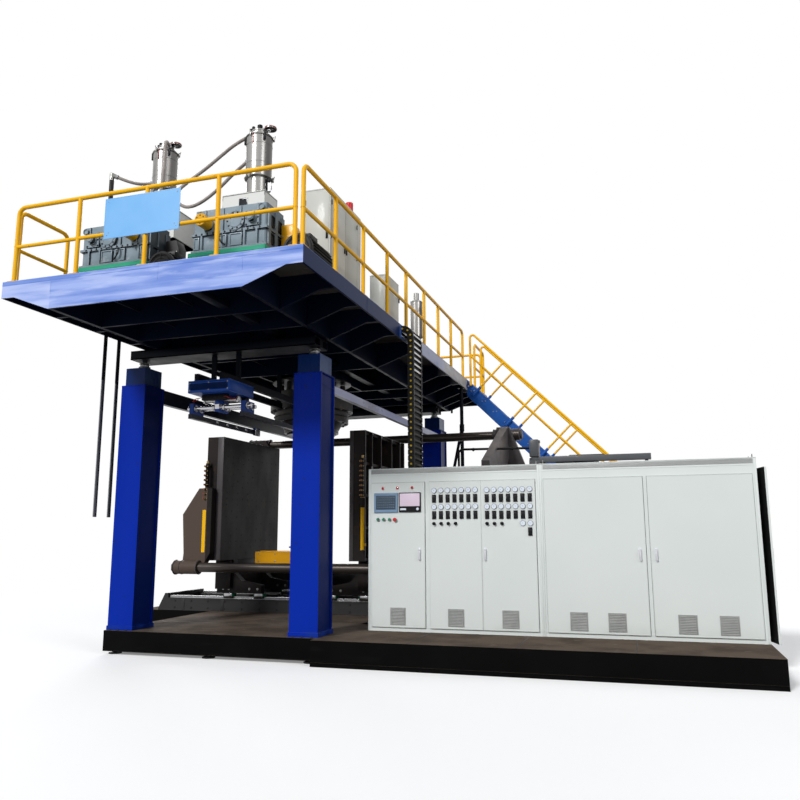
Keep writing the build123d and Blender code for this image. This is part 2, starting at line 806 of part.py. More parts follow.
with BuildPart() as lift_posts:
    for x, y in column_places:
        block(x - post_width / 2, x + post_width / 2, y - post_depth / 2, y + post_depth / 2,
              post_bottom, post_top)
        bar((x, y, post_top), (x, y, post_top + 45), neck_radius)
        bar((x, y, post_top + 45), (x, y, keel_z - beam_height), screw_radius)
save(lift_posts.part, "lift_posts")


def rail_panel(across, places, fixed, foot, top, mid):
    """Fuse one handrail panel: a bent top rail, its posts and its middle rail."""
    def point(run, z):
        return (run, fixed, z) if across else (fixed, run, z)

    first, last = places[0], places[-1]
    with BuildLine(mode=Mode.PRIVATE) as route:
        FilletPolyline(point(first, foot), point(first, top), point(last, top),
                       point(last, foot), radius=rail_bend)
    with BuildSketch(Plane(origin=point(first, foot), z_dir=(0, 0, 1)), mode=Mode.PRIVATE) as tube:
        Circle(rail_radius)
    sweep(tube.sketch, path=route.line)
    for run in places[1:-1]:
        bar(point(run, foot), point(run, top), rail_radius)
    bar(point(first, mid), point(last, mid), rail_radius - 3)


front_posts = [-1500, -654, 226, 1104, 1992]
right_posts = [-4749, -3918, -3056, -2170, -1343, -428, 394, 1236, 2110]
with BuildPart() as handrails:
    rail_panel(True, front_posts, rail_front_y, platform_top, rail_top, rail_mid)
    rail_panel(False, right_posts, rail_right_x, platform_top, rail_top, rail_mid)
    rail_panel(False, [3130, 3980], rail_right_x, platform_top, rail_top, rail_mid)
    rail_panel(True, front_posts, rail_rear_y, platform_top, rail_top, rail_mid)
    rail_panel(False, [-4700, -3955], rail_left_x, platform_top, rail_top, rail_mid)
save(handrails.part, "handrails")

with BuildPart() as sign_plate:
    sign_y = rail_front_y - rail_radius - seat_gap
    block(-290, 659, sign_y - 4, sign_y, 4643, 5105)
save(sign_plate.part, "sign_plate")

# Extruder stands: legs, side rails and the slab that the gearbox bolts to
with BuildPart() as extruder_stands:
    for side in (-1, 1):
        x0 = side * (gearbox_left_x - 10)
        x1 = side * (gearbox_right_x + 10)
        block(x0, x1, gearbox_front - 40, -3500, gearbox_bottom - slab_height, gearbox_bottom)
        for x in (x0 + side * 80, x1 - side * 80):
            for y in (gearbox_front + 20, -3570):
                block(x - 60, x + 60, y - 60, y + 60, platform_top, gearbox_bottom - slab_height)
        for y in (-2500, -1500):
            block(side * extruder_x - 120, side * extruder_x + 120, y - 50, y + 50, platform_top,
                  barrel_z - barrel_tube_radius - 40)
save(extruder_stands.part, "extruder_stands")

# Gearbox: split cast housing with feet, ribs, bolted covers and a shaft cap
middle_x = (gearbox_left_x + gearbox_right_x) / 2
gearbox_back = gearbox_front + gearbox_depth
with BuildPart() as gearbox_right:
    with BuildSketch(Plane.XY.offset(gearbox_bottom + 40)):
        with Locations((middle_x, (gearbox_front + gearbox_back) / 2)):
            RectangleRounded(gearbox_right_x - gearbox_left_x - 40, gearbox_depth - 60, 35)
    extrude(amount=gearbox_top - gearbox_bottom - 40)
    block(gearbox_left_x, gearbox_right_x, gearbox_front, gearbox_back, gearbox_bottom,
          gearbox_bottom + 40)
    block(gearbox_left_x, gearbox_right_x, gearbox_front + 5, gearbox_back - 5, 4888, 4918)
    for x in (gearbox_left_x + 130, middle_x - 90, middle_x + 200, gearbox_right_x - 130):
        block(x - 12, x + 12, gearbox_front + 4, gearbox_front + 40, gearbox_bottom + 40, 4888)
    bar((870, gearbox_front + 40, 5018), (870, gearbox_front - 2, 5018), 118)
    block(1000, 1180, gearbox_front - 4, gearbox_front + 40, 4930, 5110)
    bar((1090, gearbox_front, 5020), (1090, gearbox_front - 60, 5020), 48)
    bar((507, gearbox_front + 40, 5019), (507, gearbox_front - 150, 5019), 72)
    for x in (410, 1202):
        bar((x, gearbox_front + 40, 5145), (x, gearbox_front + 2, 5145), 34)
    for x in (gearbox_left_x + 12, gearbox_right_x - 12):
        for y in (-3960, -3800, -3640):
            block(x - 10, x + 10, y - 30, y + 30, gearbox_bottom + 40, gearbox_top - 60)
    block(gearbox_left_x + 120, gearbox_right_x - 120, gearbox_front + 120, gearbox_back - 120,
          gearbox_top, gearbox_top + 12)
save(gearbox_right.part, "gearbox_right")

with BuildPart() as gearbox_left:
    mirror(gearbox_right.part, about=Plane.YZ)
save(gearbox_left.part, "gearbox_left")

# Extruder barrels with heater covers, ending in the adapters to the die head
feed_reach = 460
feed_direction = Vector(-extruder_x, -barrel_end_y, 0).normalized()
with BuildPart() as extruder_barrels:
    for side in (-1, 1):
        x = side * extruder_x
        bar((x, gearbox_back, barrel_z), (x, barrel_end_y - 150, barrel_z), barrel_tube_radius)
        for heater in range(5):
            y = -2950 + heater * 440
            bar((x, y, barrel_z), (x, y + 300, barrel_z), barrel_tube_radius + 35)
        block(x - 170, x + 170, barrel_end_y - 150, barrel_end_y + 150, barrel_z - 170,
              barrel_z + 170)
        flange = Vector(side * -feed_direction.X * feed_reach, -feed_direction.Y * feed_reach,
                        barrel_z)
        near = Vector(x, barrel_end_y, barrel_z)
        bar(tuple(flange), tuple(near), 80)
        for y in (-2500, -1500):
            block(x - 100, x + 100, y - 50, y + 50, barrel_z - barrel_tube_radius - 40, barrel_z)
save(extruder_barrels.part, "extruder_barrels")

# Drive motors with their belt guards
with BuildPart() as drive_motors:
    for guard_x, motor_x in ((gearbox_right_x + 15, 1690), (-gearbox_left_x + 15, -60)):
        bar((motor_x, -4080, motor_z), (motor_x, -3520, motor_z), motor_radius)
        bar((motor_x, -4120, motor_z), (motor_x, -4080, motor_z), motor_radius - 40)
        block(motor_x - 150, motor_x + 150, -4000, -3600, platform_top, motor_z - 60)
        plate(facing_front(-3560), [
            (guard_x, platform_top), (guard_x + 190, platform_top), (guard_x + 190, 4930),
            (guard_x + 150, 5010), (guard_x, 5060),
        ], 160)
save(drive_motors.part, "drive_motors")

# Vacuum loaders on their hoppers, with the pipe stubs that the hoses slip on to
def loader(x, y, neck_z, body_z, lid_z, top_z):
    """One loader: neck, vacuum body with clamp rings, lid, air pipe and blow-back valve."""
    bar((x, y, neck_z), (x, y, body_z), loader_neck_radius)
    bar((x, y, body_z), (x, y, lid_z), loader_radius)
    for z in (body_z, lid_z - 14):
        bar((x, y, z), (x, y, z + 14), loader_radius + 8)
    valve_z = lid_z + 0.6 * (top_z - lid_z)
    bar((x, y, lid_z), (x, y, lid_z + 0.5 * (top_z - lid_z)), loader_radius - 60)
    bar((x, y, lid_z), (x, y, top_z), 28)
    bar((x, y, valve_z), (x + 190, y, valve_z), 16)
    bar((x + 150, y, valve_z - 12), (x + 150, y, valve_z + 12), 75)


def stub(end, inner, length):
    """The pipe stub behind a hose's end, in line with its first run."""
    back = (Vector(*end) - Vector(*inner)).normalized() * length
    bar(end, tuple(Vector(*end) + back), stub_radius)


third_loader = (1716, 300)
with BuildPart() as loaders:
    block(381, 960, -3540, -3220, hopper_bottom, hopper_top)
    block(-960, -381, -3430, -2940, hopper_bottom, hopper_top)
    for x, y in ((extruder_x, -3400), (-extruder_x, -3120)):
        block(x - 110, x + 110, y - 90, y + 90, barrel_z + barrel_tube_radius + seat_gap,
              hopper_bottom)
    loader(extruder_x, -3400, hopper_top, 5821, 6382, 6564)
    loader(-extruder_x, -3120, hopper_top, 6010, 6571, 6757)
    for route in hose_routes.values():
        stub(route[-1], route[-2], stub_length)
    for name in ("hose_2", "hose_3", "hose_4"):
        stub(hose_routes[name][0], hose_routes[name][1], stub_length)
    pipe_top = hose_routes["hose_1"][0]
    stub(pipe_top, hose_routes["hose_1"][1], 80)
    bar((-1412, -3406, platform_top + 20), (-1412, -3406, pipe_top[2] + 50), stub_radius)
    block(-1462, -1362, -3456, -3356, platform_top, platform_top + 20)
    x, y = third_loader
    bar((x, y, platform_top), (x, y, 4640), 60)
    bar((x, y, 4640), (x, y, 5250), 100)
    bar((x, y, 5250), (x, y, 5396), 45)
save(loaders.part, "loaders")

with BuildPart() as platform_cabinets:
    block(1460, 1810, -3490, -2500, platform_top, 5530)
    block(1475, 1795, -3475, -2515, 5530, 5545)
    for y in (-3032, -2633):
        block(1808, 1814, y - 4, y + 4, platform_top + 30, 5500)
    bar((1700, -2630, 5545), (1700, -2630, 5600), 28)
    bar((1700, -2630, 5600), (1700, -2630, 5720), 48)
    block(1537, 1800, -1417, -893, platform_top, 5150)
    block(1550, 1787, -1404, -906, 5150, 5165)
save(platform_cabinets.part, "platform_cabinets")

# Die head: turned body with its bolted rings, and the movable core inside it
shaft_top = 5420
head_profile = [
    (head_bore, head_bottom), (390, head_bottom), (510, 3250), (600, 3250), (600, 3434),
    (670, 3434), (670, 3713), (380, 3713), (380, keel_z - 20), (640, keel_z - 20),
    (640, keel_z), (380, keel_z), (380, 5200), (240, 5240), (240, 5320),
    (head_shaft + running_gap, 5320), (head_shaft + running_gap, 3440), (head_bore, 3440),
]
with BuildPart() as die_head:
    turned(head_profile)
    for side in (-1, 1):
        flange = (side * -feed_direction.X * feed_reach, -feed_direction.Y * feed_reach, barrel_z)
        start = (side * -feed_direction.X * 350, -feed_direction.Y * 350, barrel_z)
        bar(start, flange, 110)
    with PolarLocations(555, 16):
        with Locations((0, 0, 3250 - 9)):
            Cylinder(20, 18)
save(die_head.part, "die_head")

core_profile = [
    (0, head_bottom + 8), (head_bore - 60, head_bottom), (head_bore - 5, head_bottom + 40),
    (head_bore - running_gap, head_bottom + 60), (head_bore - running_gap, head_bottom + core_height),
    (head_shaft, head_bottom + core_height), (head_shaft, shaft_top), (0, shaft_top),
]
with BuildPart() as die_core:
    turned(core_profile)
save(die_core.part, "die_core")


chain_top_run = chain_x - chain_bend - chain_start_x
chain_drop = chain_z - chain_bend - chain_low_z
chain_rise = chain_end_z - chain_low_z
chain_arc = chain_bend * math.pi / 2
chain_loop = chain_low_bend * math.pi


def chain_point(run, offset):
    """A point beside the chain's route, with the heading of the route there, in degrees."""
    if run <= chain_top_run:
        x, z, heading = chain_start_x + run, chain_z, 0
    elif run <= chain_top_run + chain_arc:
        heading = math.degrees((run - chain_top_run) / chain_bend)
        x = chain_x - chain_bend + chain_bend * math.sin(math.radians(heading))
        z = chain_z - chain_bend + chain_bend * math.cos(math.radians(heading))
    elif run <= chain_top_run + chain_arc + chain_drop:
        x, z, heading = chain_x, chain_z - chain_bend - (run - chain_top_run - chain_arc), 90
    elif run <= chain_top_run + chain_arc + chain_drop + chain_loop:
        swing = math.degrees((run - chain_top_run - chain_arc - chain_drop) / chain_low_bend)
        heading = 90 - swing
        x = chain_x + chain_low_bend - chain_low_bend * math.cos(math.radians(swing))
        z = chain_low_z - chain_low_bend * math.sin(math.radians(swing))
    else:
        rise = run - chain_top_run - chain_arc - chain_drop - chain_loop
        x, z, heading = chain_x + 2 * chain_low_bend, chain_low_z + rise, -90
    x += offset * math.sin(math.radians(heading))
    z += offset * math.cos(math.radians(heading))
    return x, z, heading


chain_length = chain_top_run + chain_arc + chain_drop + chain_loop + chain_rise
link_count = int(chain_length / chain_pitch)
upper_edge = []
lower_edge = []
for link in range(link_count):
    first = link * chain_pitch
    for run, half in (
        (first, chain_half - chain_waist), (first + chain_joint, chain_half - chain_waist),
        (first + 2 * chain_joint, chain_half),
        (first + chain_pitch - chain_joint, chain_half),
    ):
        upper_edge.append(chain_point(run, half)[:2])
        lower_edge.append(chain_point(run, -half)[:2])
bar_places = []
for link in range(link_count):
    for offset in (-chain_half + 14, chain_half - 14):
        x, z, heading = chain_point((link + 0.5) * chain_pitch, offset)
        bar_places.append(Location((x, chain_near + chain_width / 2, z), (0, heading, 0)))
with BuildPart() as cable_chain:
    for y in (chain_near + chain_plate, chain_near + chain_width):
        plate(facing_front(y), upper_edge + lower_edge[::-1], chain_plate)
    with Locations(*bar_places):
        Box(24, chain_width - 2 * chain_plate + 2, 10)
save(cable_chain.part, "cable_chain")

# Stair: stringers with treads between them, and a rail on each side
slope_top_x = platform_right + 14
slope_top_z = platform_top - 15
stringer_drop = stringer_depth * math.sqrt(2)
stair_toe_z = 60
toe_top_x = slope_top_x + slope_top_z - stair_toe_z
shoe_radius = 50
shoe_x = toe_top_x - stringer_drop / 2


def slope_z(x):
    """Height of the stringers' top edge."""
    return slope_top_z - (x - slope_top_x)


with BuildPart() as stair:
    for y in (stair_front + stringer_plate, stair_back):
        plate(facing_front(y), [
            (slope_top_x, slope_top_z), (toe_top_x, stair_toe_z),
            (toe_top_x - stringer_drop, stair_toe_z), (slope_top_x, slope_top_z - stringer_drop),
        ], stringer_plate)
    rise = slope_top_z / (stair_steps + 1)
    tread_places = []
    for step in range(1, stair_steps + 1):
        x = slope_top_x + step * rise - tread_depth / 2 - 12
        tread_places.append((x, (stair_front + stair_back) / 2,
                             slope_z(x + tread_depth / 2) - tread_inset))
    with Locations(*tread_places):
        Box(tread_depth, stair_back - stair_front - stringer_plate, tread_plate,
            align=(Align.CENTER, Align.CENTER, Align.MAX))
    bar((shoe_x, stair_front + stringer_plate / 2, stair_foot_z + shoe_radius),
        (shoe_x, stair_back - stringer_plate / 2, stair_foot_z + shoe_radius), shoe_radius)
    for y in (stair_front, stair_back - stringer_plate):
        bar((stair_pin_x, y - 1, stair_pivot_z), (stair_pin_x, y + stringer_plate + 1, stair_pivot_z),
            pin_clear + running_gap, mode=Mode.SUBTRACT)
    rail_posts = [2276 + 634 * post for post in range(7)]
    for y in (stair_front - rail_radius - seat_gap, stair_back + rail_radius + seat_gap):
        first, last = rail_posts[0], rail_posts[-1]
        with BuildLine(mode=Mode.PRIVATE) as route:
            FilletPolyline((first, y, slope_z(first) - 150), (first, y, slope_z(first) + stair_rail_height),
                           (last, y, slope_z(last) + stair_rail_height),
                           (last, y, slope_z(last) - 150), radius=rail_bend)
        with BuildSketch(Plane(origin=(first, y, slope_z(first) - 150), z_dir=(0, 0, 1)),
                         mode=Mode.PRIVATE) as tube:
            Circle(rail_radius)
        sweep(tube.sketch, path=route.line)
        for x in rail_posts[1:-1]:
            bar((x, y, slope_z(x) - 150), (x, y, slope_z(x) + stair_rail_height), rail_radius - 2)
        bar((first, y, slope_z(first) + stair_rail_height / 2),
            (last, y, slope_z(last) + stair_rail_height / 2), rail_radius - 3)
save(stair.part, "stair")

# Take-out unit: a carriage on two hanging rails, with two arms that slide together
with BuildPart() as takeout_rails:
    for side in (-1, 1):
        x0 = side * 150
        x1 = side * 210
        low = carriage_top + seat_gap
        block(x0, x1, carriage_front, -760, low, low + 90)
        block(x0, x1, beam_centres[0] - 20, beam_centres[0] + 20, low + 90, keel_z - beam_height)
        block(x0, x1, -850, -810, low + 90, keel_z)
save(takeout_rails.part, "takeout_rails")

rod_depths = (-2820, -2700)
with BuildPart() as takeout_carriage:
    block(-carriage_half_width, carriage_half_width, carriage_front, carriage_back,
          carriage_bottom, carriage_top)
    block(-30, 30, -2880, -2640, 3030, carriage_bottom)
    for y in rod_depths:
        bar((-460, y, guide_rod_z), (460, y, guide_rod_z), guide_rod_radius)
save(takeout_carriage.part, "takeout_carriage")

for name, side in (("gripper_left", -1), ("gripper_right", 1)):
    with BuildPart() as gripper:
        inner = side * (arm_x - arm_half)
        outer = side * (arm_x + arm_half)
        block(inner, outer, -2880, -2640, arm_z + arm_half, guide_rod_z + 60)
        block(inner, outer, arm_front, arm_back, arm_z - arm_half, arm_z + arm_half)
        block(inner, inner - side * 30, arm_back - 190, arm_back - 30, arm_z - 55, arm_z + 55)
        for y in rod_depths:
            bar((inner - side, y, guide_rod_z), (outer + side, y, guide_rod_z),
                guide_rod_radius + running_gap, mode=Mode.SUBTRACT)
    save(gripper.part, name)

# Conveying hoses, each with an arc at every corner of its route
for name, route in hose_routes.items():
    radii = []
    for before, here, after in zip(route, route[1:], route[2:]):
        arriving = Vector(*here) - Vector(*before)
        leaving = Vector(*after) - Vector(*here)
        turn = math.radians(arriving.get_angle(leaving))
        radii.append(0.45 * min(arriving.length, leaving.length) / math.tan(turn / 2))
    print(name, "radii", [round(radius) for radius in radii])
    with BuildLine() as centre:
        FilletPolyline(*route, radius=radii)
    with BuildPart() as hose:
        heading = Vector(*route[1]) - Vector(*route[0])
        with BuildSketch(Plane(origin=route[0], z_dir=heading), mode=Mode.PRIVATE) as tube:
            Circle(hose_radius)
        sweep(tube.sketch, path=centre.line)
    save(hose.part, name)
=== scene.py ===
import math

import bmesh
import bpy
from mathutils import Matrix, Vector


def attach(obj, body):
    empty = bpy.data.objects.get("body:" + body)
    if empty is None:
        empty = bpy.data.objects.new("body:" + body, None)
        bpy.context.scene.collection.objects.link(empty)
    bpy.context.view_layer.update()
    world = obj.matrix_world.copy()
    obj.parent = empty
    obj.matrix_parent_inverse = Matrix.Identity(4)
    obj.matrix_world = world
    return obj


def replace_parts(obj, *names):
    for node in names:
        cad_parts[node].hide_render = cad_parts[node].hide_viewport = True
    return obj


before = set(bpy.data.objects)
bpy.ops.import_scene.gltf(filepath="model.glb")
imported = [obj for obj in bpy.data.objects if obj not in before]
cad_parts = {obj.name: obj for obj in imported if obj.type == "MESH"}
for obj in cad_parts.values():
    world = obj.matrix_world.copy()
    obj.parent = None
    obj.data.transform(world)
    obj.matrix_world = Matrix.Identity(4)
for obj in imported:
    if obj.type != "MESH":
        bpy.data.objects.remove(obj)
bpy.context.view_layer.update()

# Places are written in millimetres, as the drawings give them, and turned to metres here
MM = 0.001
FRONT, BACK = (0, -1, 0), (0, 1, 0)
RIGHT, LEFT = (1, 0, 0), (-1, 0, 0)
UP, DOWN = (0, 0, 1), (0, 0, -1)

# Heights, faces and axes that several pieces share
base_top, platform_top = 290, 4290
platform_right, platform_front = 2111, -4834
column_spots = [(side * 1272, y) for side in (-1, 1) for y in (-2686, 2959)]
rail_y, rail_top = 470, 520
clamp_axis = 2029.5
tie_spots = [(-1097, 988), (1097, 2 * clamp_axis - 988)]
door_face = -2123
door_spans = {1: (1837, 2536), 2: (2595, 3250), 3: (3252, 3912), 4: (4014, 5146), 5: (5194, 6311)}


def at(x, y, z):
    return Vector((x * MM, y * MM, z * MM))


# Camera and light
camera_place = (5204.42, -11266.08, 1479.05)
camera_turns = ((17.4813, "Z"), (90 + 9.8287, "X"), (-0.2945, "Z"))


def set_up_camera():
    """The photograph's camera: where it stood, how it was turned, and its lens."""
    data = bpy.data.cameras.new("camera")
    data.sensor_width = 36
    data.lens = 34.075
    data.shift_x = -0.00977
    data.shift_y = 0.00251
    data.clip_start = 0.1
    data.clip_end = 200
    camera = bpy.data.objects.new("camera", data)
    pose = Matrix.Translation(at(*camera_place))
    for degrees, axis in camera_turns:
        pose = pose @ Matrix.Rotation(math.radians(degrees), 4, axis)
    camera.matrix_world = pose
    bpy.context.collection.objects.link(camera)
    bpy.context.scene.camera = camera


def lamp_from(name, way, strength, width):
    """A broad studio lamp a long way off, in the direction way from the machine."""
    data = bpy.data.lights.new(name, "SUN")
    data.energy = strength
    data.angle = math.radians(width)
    lamp = bpy.data.objects.new(name, data)
    lamp.rotation_euler = Vector(way).to_track_quat("Z", "Y").to_euler()
    bpy.context.collection.objects.link(lamp)


def feed(tree, socket, value):
    """Set a socket to a number, a place or a colour, or link another node's output to it."""
    if isinstance(value, (int, float)):
        socket.default_value = value
    elif isinstance(value, tuple):
        socket.default_value = (*value, 1) if socket.type == "RGBA" else value
    else:
        tree.links.new(value, socket)


def new_node(tree, kind, **inputs):
    """A node of a material's or the world's tree, with its named inputs set or linked."""
    node = tree.nodes.new("ShaderNode" + kind)
    for name, value in inputs.items():
        feed(tree, node.inputs[name.replace("_", " ")], value)
    return node


def fed_in_turn(tree, kind, *values):
    """The output of a node whose inputs take the values in turn."""
    node = tree.nodes.new("ShaderNode" + kind)
    for socket, value in zip(node.inputs, values):
        feed(tree, socket, value)
    return node.outputs[0]


def new_material(name):
    material = bpy.data.materials.new(name)
    material.use_nodes = True
    material.node_tree.nodes.clear()
    return material, material.node_tree


def seen_ray(tree):
    """1 where the camera sees a surface, straight or in gloss and glass, and 0 for soft light."""
    path = tree.nodes.new("ShaderNodeLightPath")
    seen = path.outputs["Is Camera Ray"]
    for ray in ("Is Glossy Ray", "Is Transmission Ray"):
        either = tree.nodes.new("ShaderNodeMath")
        either.operation = "MAXIMUM"
        feed(tree, either.inputs[0], seen)
        feed(tree, either.inputs[1], path.outputs[ray])
        seen = either.outputs[0]
    return seen


def set_up_light():
    """A pale world, seen as white, one large front lamp and two fill lamps."""
    scene = bpy.context.scene
    scene.view_settings.view_transform = "Standard"
    world = bpy.data.worlds.new("pale_room")
    scene.world = world
    world.use_nodes = True
    tree = world.node_tree
    tree.nodes.clear()
    seen = new_node(tree, "Background", Color=(1, 1, 1), Strength=1.0).outputs[0]
    soft = new_node(tree, "Background", Color=(0.93, 0.96, 1), Strength=0.38).outputs[0]
    new_node(tree, "OutputWorld", Surface=fed_in_turn(tree, "MixShader", seen_ray(tree), soft, seen))
    lamp_from("front_lamp", (-5.3, -15.5, 10.3), 2.5, 12)
    lamp_from("right_fill", (15, -7, 7), 0.6, 25)
    lamp_from("rear_fill", (-10, 15.5, 9), 1.1, 25)


def lay_floor():
    """A pale floor that keeps the shadow near the machine and fades to white far out."""
    bpy.ops.mesh.primitive_plane_add(size=160, location=(0, 0, -0.001))
    floor = bpy.context.active_object
    floor.name = "floor"
    settle(floor)
    material, tree = new_material("floor_paint")
    paint = new_node(tree, "BsdfDiffuse", Color=(0.85, 0.85, 0.85)).outputs[0]
    lift = new_node(tree, "Emission", Strength=0.22).outputs[0]
    far = new_node(tree, "Emission", Strength=1.0).outputs[0]
    grey = new_node(tree, "BsdfDiffuse", Color=(0.4, 0.4, 0.4)).outputs[0]
    place_on_floor = new_node(tree, "TexCoord").outputs["Object"]
    centre = new_node(tree, "Mapping", Vector=place_on_floor, Location=(-1.8, 0.4, 0))
    reach = tree.nodes.new("ShaderNodeVectorMath")
    reach.operation = "LENGTH"
    feed(tree, reach.inputs[0], centre.outputs[0])
    fade = new_node(tree, "MapRange", Value=reach.outputs["Value"], From_Min=6.5, From_Max=13)
    near = fed_in_turn(tree, "AddShader", paint, lift)
    shown = fed_in_turn(tree, "MixShader", fade.outputs[0], near, far)
    final = fed_in_turn(tree, "MixShader", seen_ray(tree), grey, shown)
    new_node(tree, "OutputMaterial", Surface=final)
    floor.data.materials.append(material)


# Modelling
def deselect():
    for piece in bpy.context.selected_objects:
        piece.select_set(False)


def pick(*pieces):
    deselect()
    for piece in pieces:
        piece.select_set(True)
    bpy.context.view_layer.objects.active = pieces[0]


def settle(piece):
    """Put the piece's place, turn and scale into its mesh."""
    pick(piece)
    bpy.ops.object.transform_apply(location=True, rotation=True, scale=True)


def apply_modifier(piece, kind, **values):
    pick(piece)
    modifier = piece.modifiers.new(kind.lower(), kind)
    for key, value in values.items():
        setattr(modifier, key, value)
    bpy.ops.object.modifier_apply(modifier=modifier.name)


def soften(piece, width, segments=2):
    """Round the piece's edges a little."""
    apply_modifier(piece, "BEVEL", width=width * MM, segments=segments, limit_method="ANGLE",
                   angle_limit=math.radians(40))


def slab(x0, x1, y0, y1, z0, z1, edge=2.0, segments=2):
    """A rectangular piece with softened edges."""
    deselect()
    bpy.ops.mesh.primitive_cube_add(size=1, location=at((x0 + x1) / 2, (y0 + y1) / 2, (z0 + z1) / 2))
    piece = bpy.context.active_object
    piece.scale = (abs(x1 - x0) * MM, abs(y1 - y0) * MM, abs(z1 - z0) * MM)
    settle(piece)
    if edge:
        soften(piece, edge, segments)
    return piece


def round_bar(start, end, radius, sides=24, edge=1.0):
    """A round piece from one point to another, with softened rims."""
    start, end = at(*start), at(*end)
    run = end - start
    deselect()
    bpy.ops.mesh.primitive_cylinder_add(vertices=sides, radius=radius * MM, depth=run.length,
                                        location=(start + end) / 2,
                                        rotation=run.to_track_quat("Z", "Y").to_euler())
    piece = bpy.context.active_object
    settle(piece)
    if edge:
        soften(piece, edge, 1)
    return piece


def ring(centre, direction, radius, thickness, sides=28, section=8):
    """A round-section ring about a direction."""
    deselect()
    turn = Vector(direction).to_track_quat("Z", "Y").to_euler()
    bpy.ops.mesh.primitive_torus_add(major_radius=radius * MM, minor_radius=thickness * MM,
                                     major_segments=sides, minor_segments=section,
                                     location=at(*centre), rotation=turn)
    piece = bpy.context.active_object
    settle(piece)
    return piece


def select_faces(piece, test):
    """Enter edit mode with the faces that pass a test on their normal and centre selected."""
    pick(piece)
    bpy.ops.object.mode_set(mode="EDIT")
    bpy.ops.mesh.select_mode(type="FACE")
    bpy.ops.mesh.select_all(action="DESELECT")
    mesh = bmesh.from_edit_mesh(piece.data)
    for face in mesh.faces:
        if test(face.normal, face.calc_center_median()):
            face.select_set(True)
    bmesh.update_edit_mesh(piece.data)


def leave_edit():
    bpy.ops.object.mode_set(mode="OBJECT")


def facing(direction):
    """A test for faces that point one way."""
    wanted = Vector(direction)
    return lambda normal, centre: normal.dot(wanted) > 0.95


def sink(piece, direction, margin, depth, each=False):
    """Inset the faces that point one way and push them in, or out with a negative depth."""
    select_faces(piece, facing(direction))
    bpy.ops.mesh.inset(thickness=margin * MM, use_individual=each)
    push = Vector(direction) * (-depth * MM)
    bpy.ops.mesh.extrude_region_move(TRANSFORM_OT_translate={"value": push})
    leave_edit()


def cut_rows(piece, axis, low, high, count):
    """Cut the piece's faces into rows across an axis."""
    pick(piece)
    bpy.ops.object.mode_set(mode="EDIT")
    for row in range(1, count):
        bpy.ops.mesh.select_all(action="SELECT")
        centre = [0, 0, 0]
        normal = [0, 0, 0]
        centre[axis] = (low + (high - low) * row / count) * MM
        normal[axis] = 1
        bpy.ops.mesh.bisect(plane_co=centre, plane_no=normal)
    leave_edit()


def join(name, pieces):
    """One piece from several."""
    pick(*pieces)
    if len(pieces) > 1:
        bpy.ops.object.join()
    piece = bpy.context.active_object
    piece.name = name
    piece.data.name = name
    return piece


def place(x, y, z, direction=UP, spin=0.0):
    """Where a copy goes: its point and the way that its top looks."""
    turn = Vector(direction).to_track_quat("Z", "Y").to_matrix().to_4x4()
    return Matrix.Translation(at(x, y, z)) @ turn @ Matrix.Rotation(spin, 4, "Z")


def turned(x, y, z, degrees=0, axis="Y"):
    """Where a copy goes that keeps its own axes, or turns about one of them."""
    return Matrix.Translation(at(x, y, z)) @ Matrix.Rotation(math.radians(degrees), 4, axis)


def pitch_circle(centre, radius, count, direction, first=0):
    """Places evenly round a circle square to a direction, the first at an angle in degrees."""
    x, y, z = centre
    found = []
    for step in range(count):
        turn = math.radians(360 / count * step + first)
        over, along = radius * math.cos(turn), radius * math.sin(turn)
        if direction[2]:
            spot = (x + over, y + along, z)
        elif direction[1]:
            spot = (x + over, y, z + along)
        else:
            spot = (x, y + over, z + along)
        found.append(place(*spot, direction))
    return found


def pipe(route, radius, sides, edge):
    """Round bars from point to point of a route."""
    return [round_bar(start, end, radius, sides, edge) for start, end in zip(route, route[1:])]


def copies(name, model, places):
    """Copies of one modelled piece at each place, as one piece."""
    made = []
    for spot in places:
        piece = model.copy()
        piece.data = model.data.copy()
        piece.data.transform(spot)
        bpy.context.collection.objects.link(piece)
        made.append(piece)
    bpy.data.objects.remove(model)
    return join(name, made)


def hex_bolt(size, washer):
    """A hexagon head on its washer, standing on the origin, top up."""
    head = round_bar((0, 0, 0), (0, 0, size * 0.65), size, sides=6, edge=size * 0.12)
    if not washer:
        return head
    under = round_bar((0, 0, -1), (0, 0, size * 0.12), size * 1.25, sides=14, edge=0.4)
    return join("bolt", [head, under])


def done(piece, body, coat, smooth=35):
    """Give the piece its finish, smooth its round faces and let it ride on its body."""
    piece.data.materials.clear()
    piece.data.materials.append(finishes[coat])
    pick(piece)
    bpy.ops.object.shade_smooth_by_angle(angle=math.radians(smooth))
    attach(piece, body)
    return piece


def build(name, pieces, body, coat):
    """Several modelled pieces, joined as one finished piece."""
    return done(join(name, pieces), body, coat)


def spread(name, model, places, body, coat):
    """Copies of one modelled piece at each place, joined as one finished piece."""
    return done(copies(name, model, places), body, coat)


def bolts(name, places, size, body, coat, washer=True):
    """Hexagon heads on their washers at each place, joined as one finished piece."""
    return spread(name, hex_bolt(size, washer), places, body, coat)


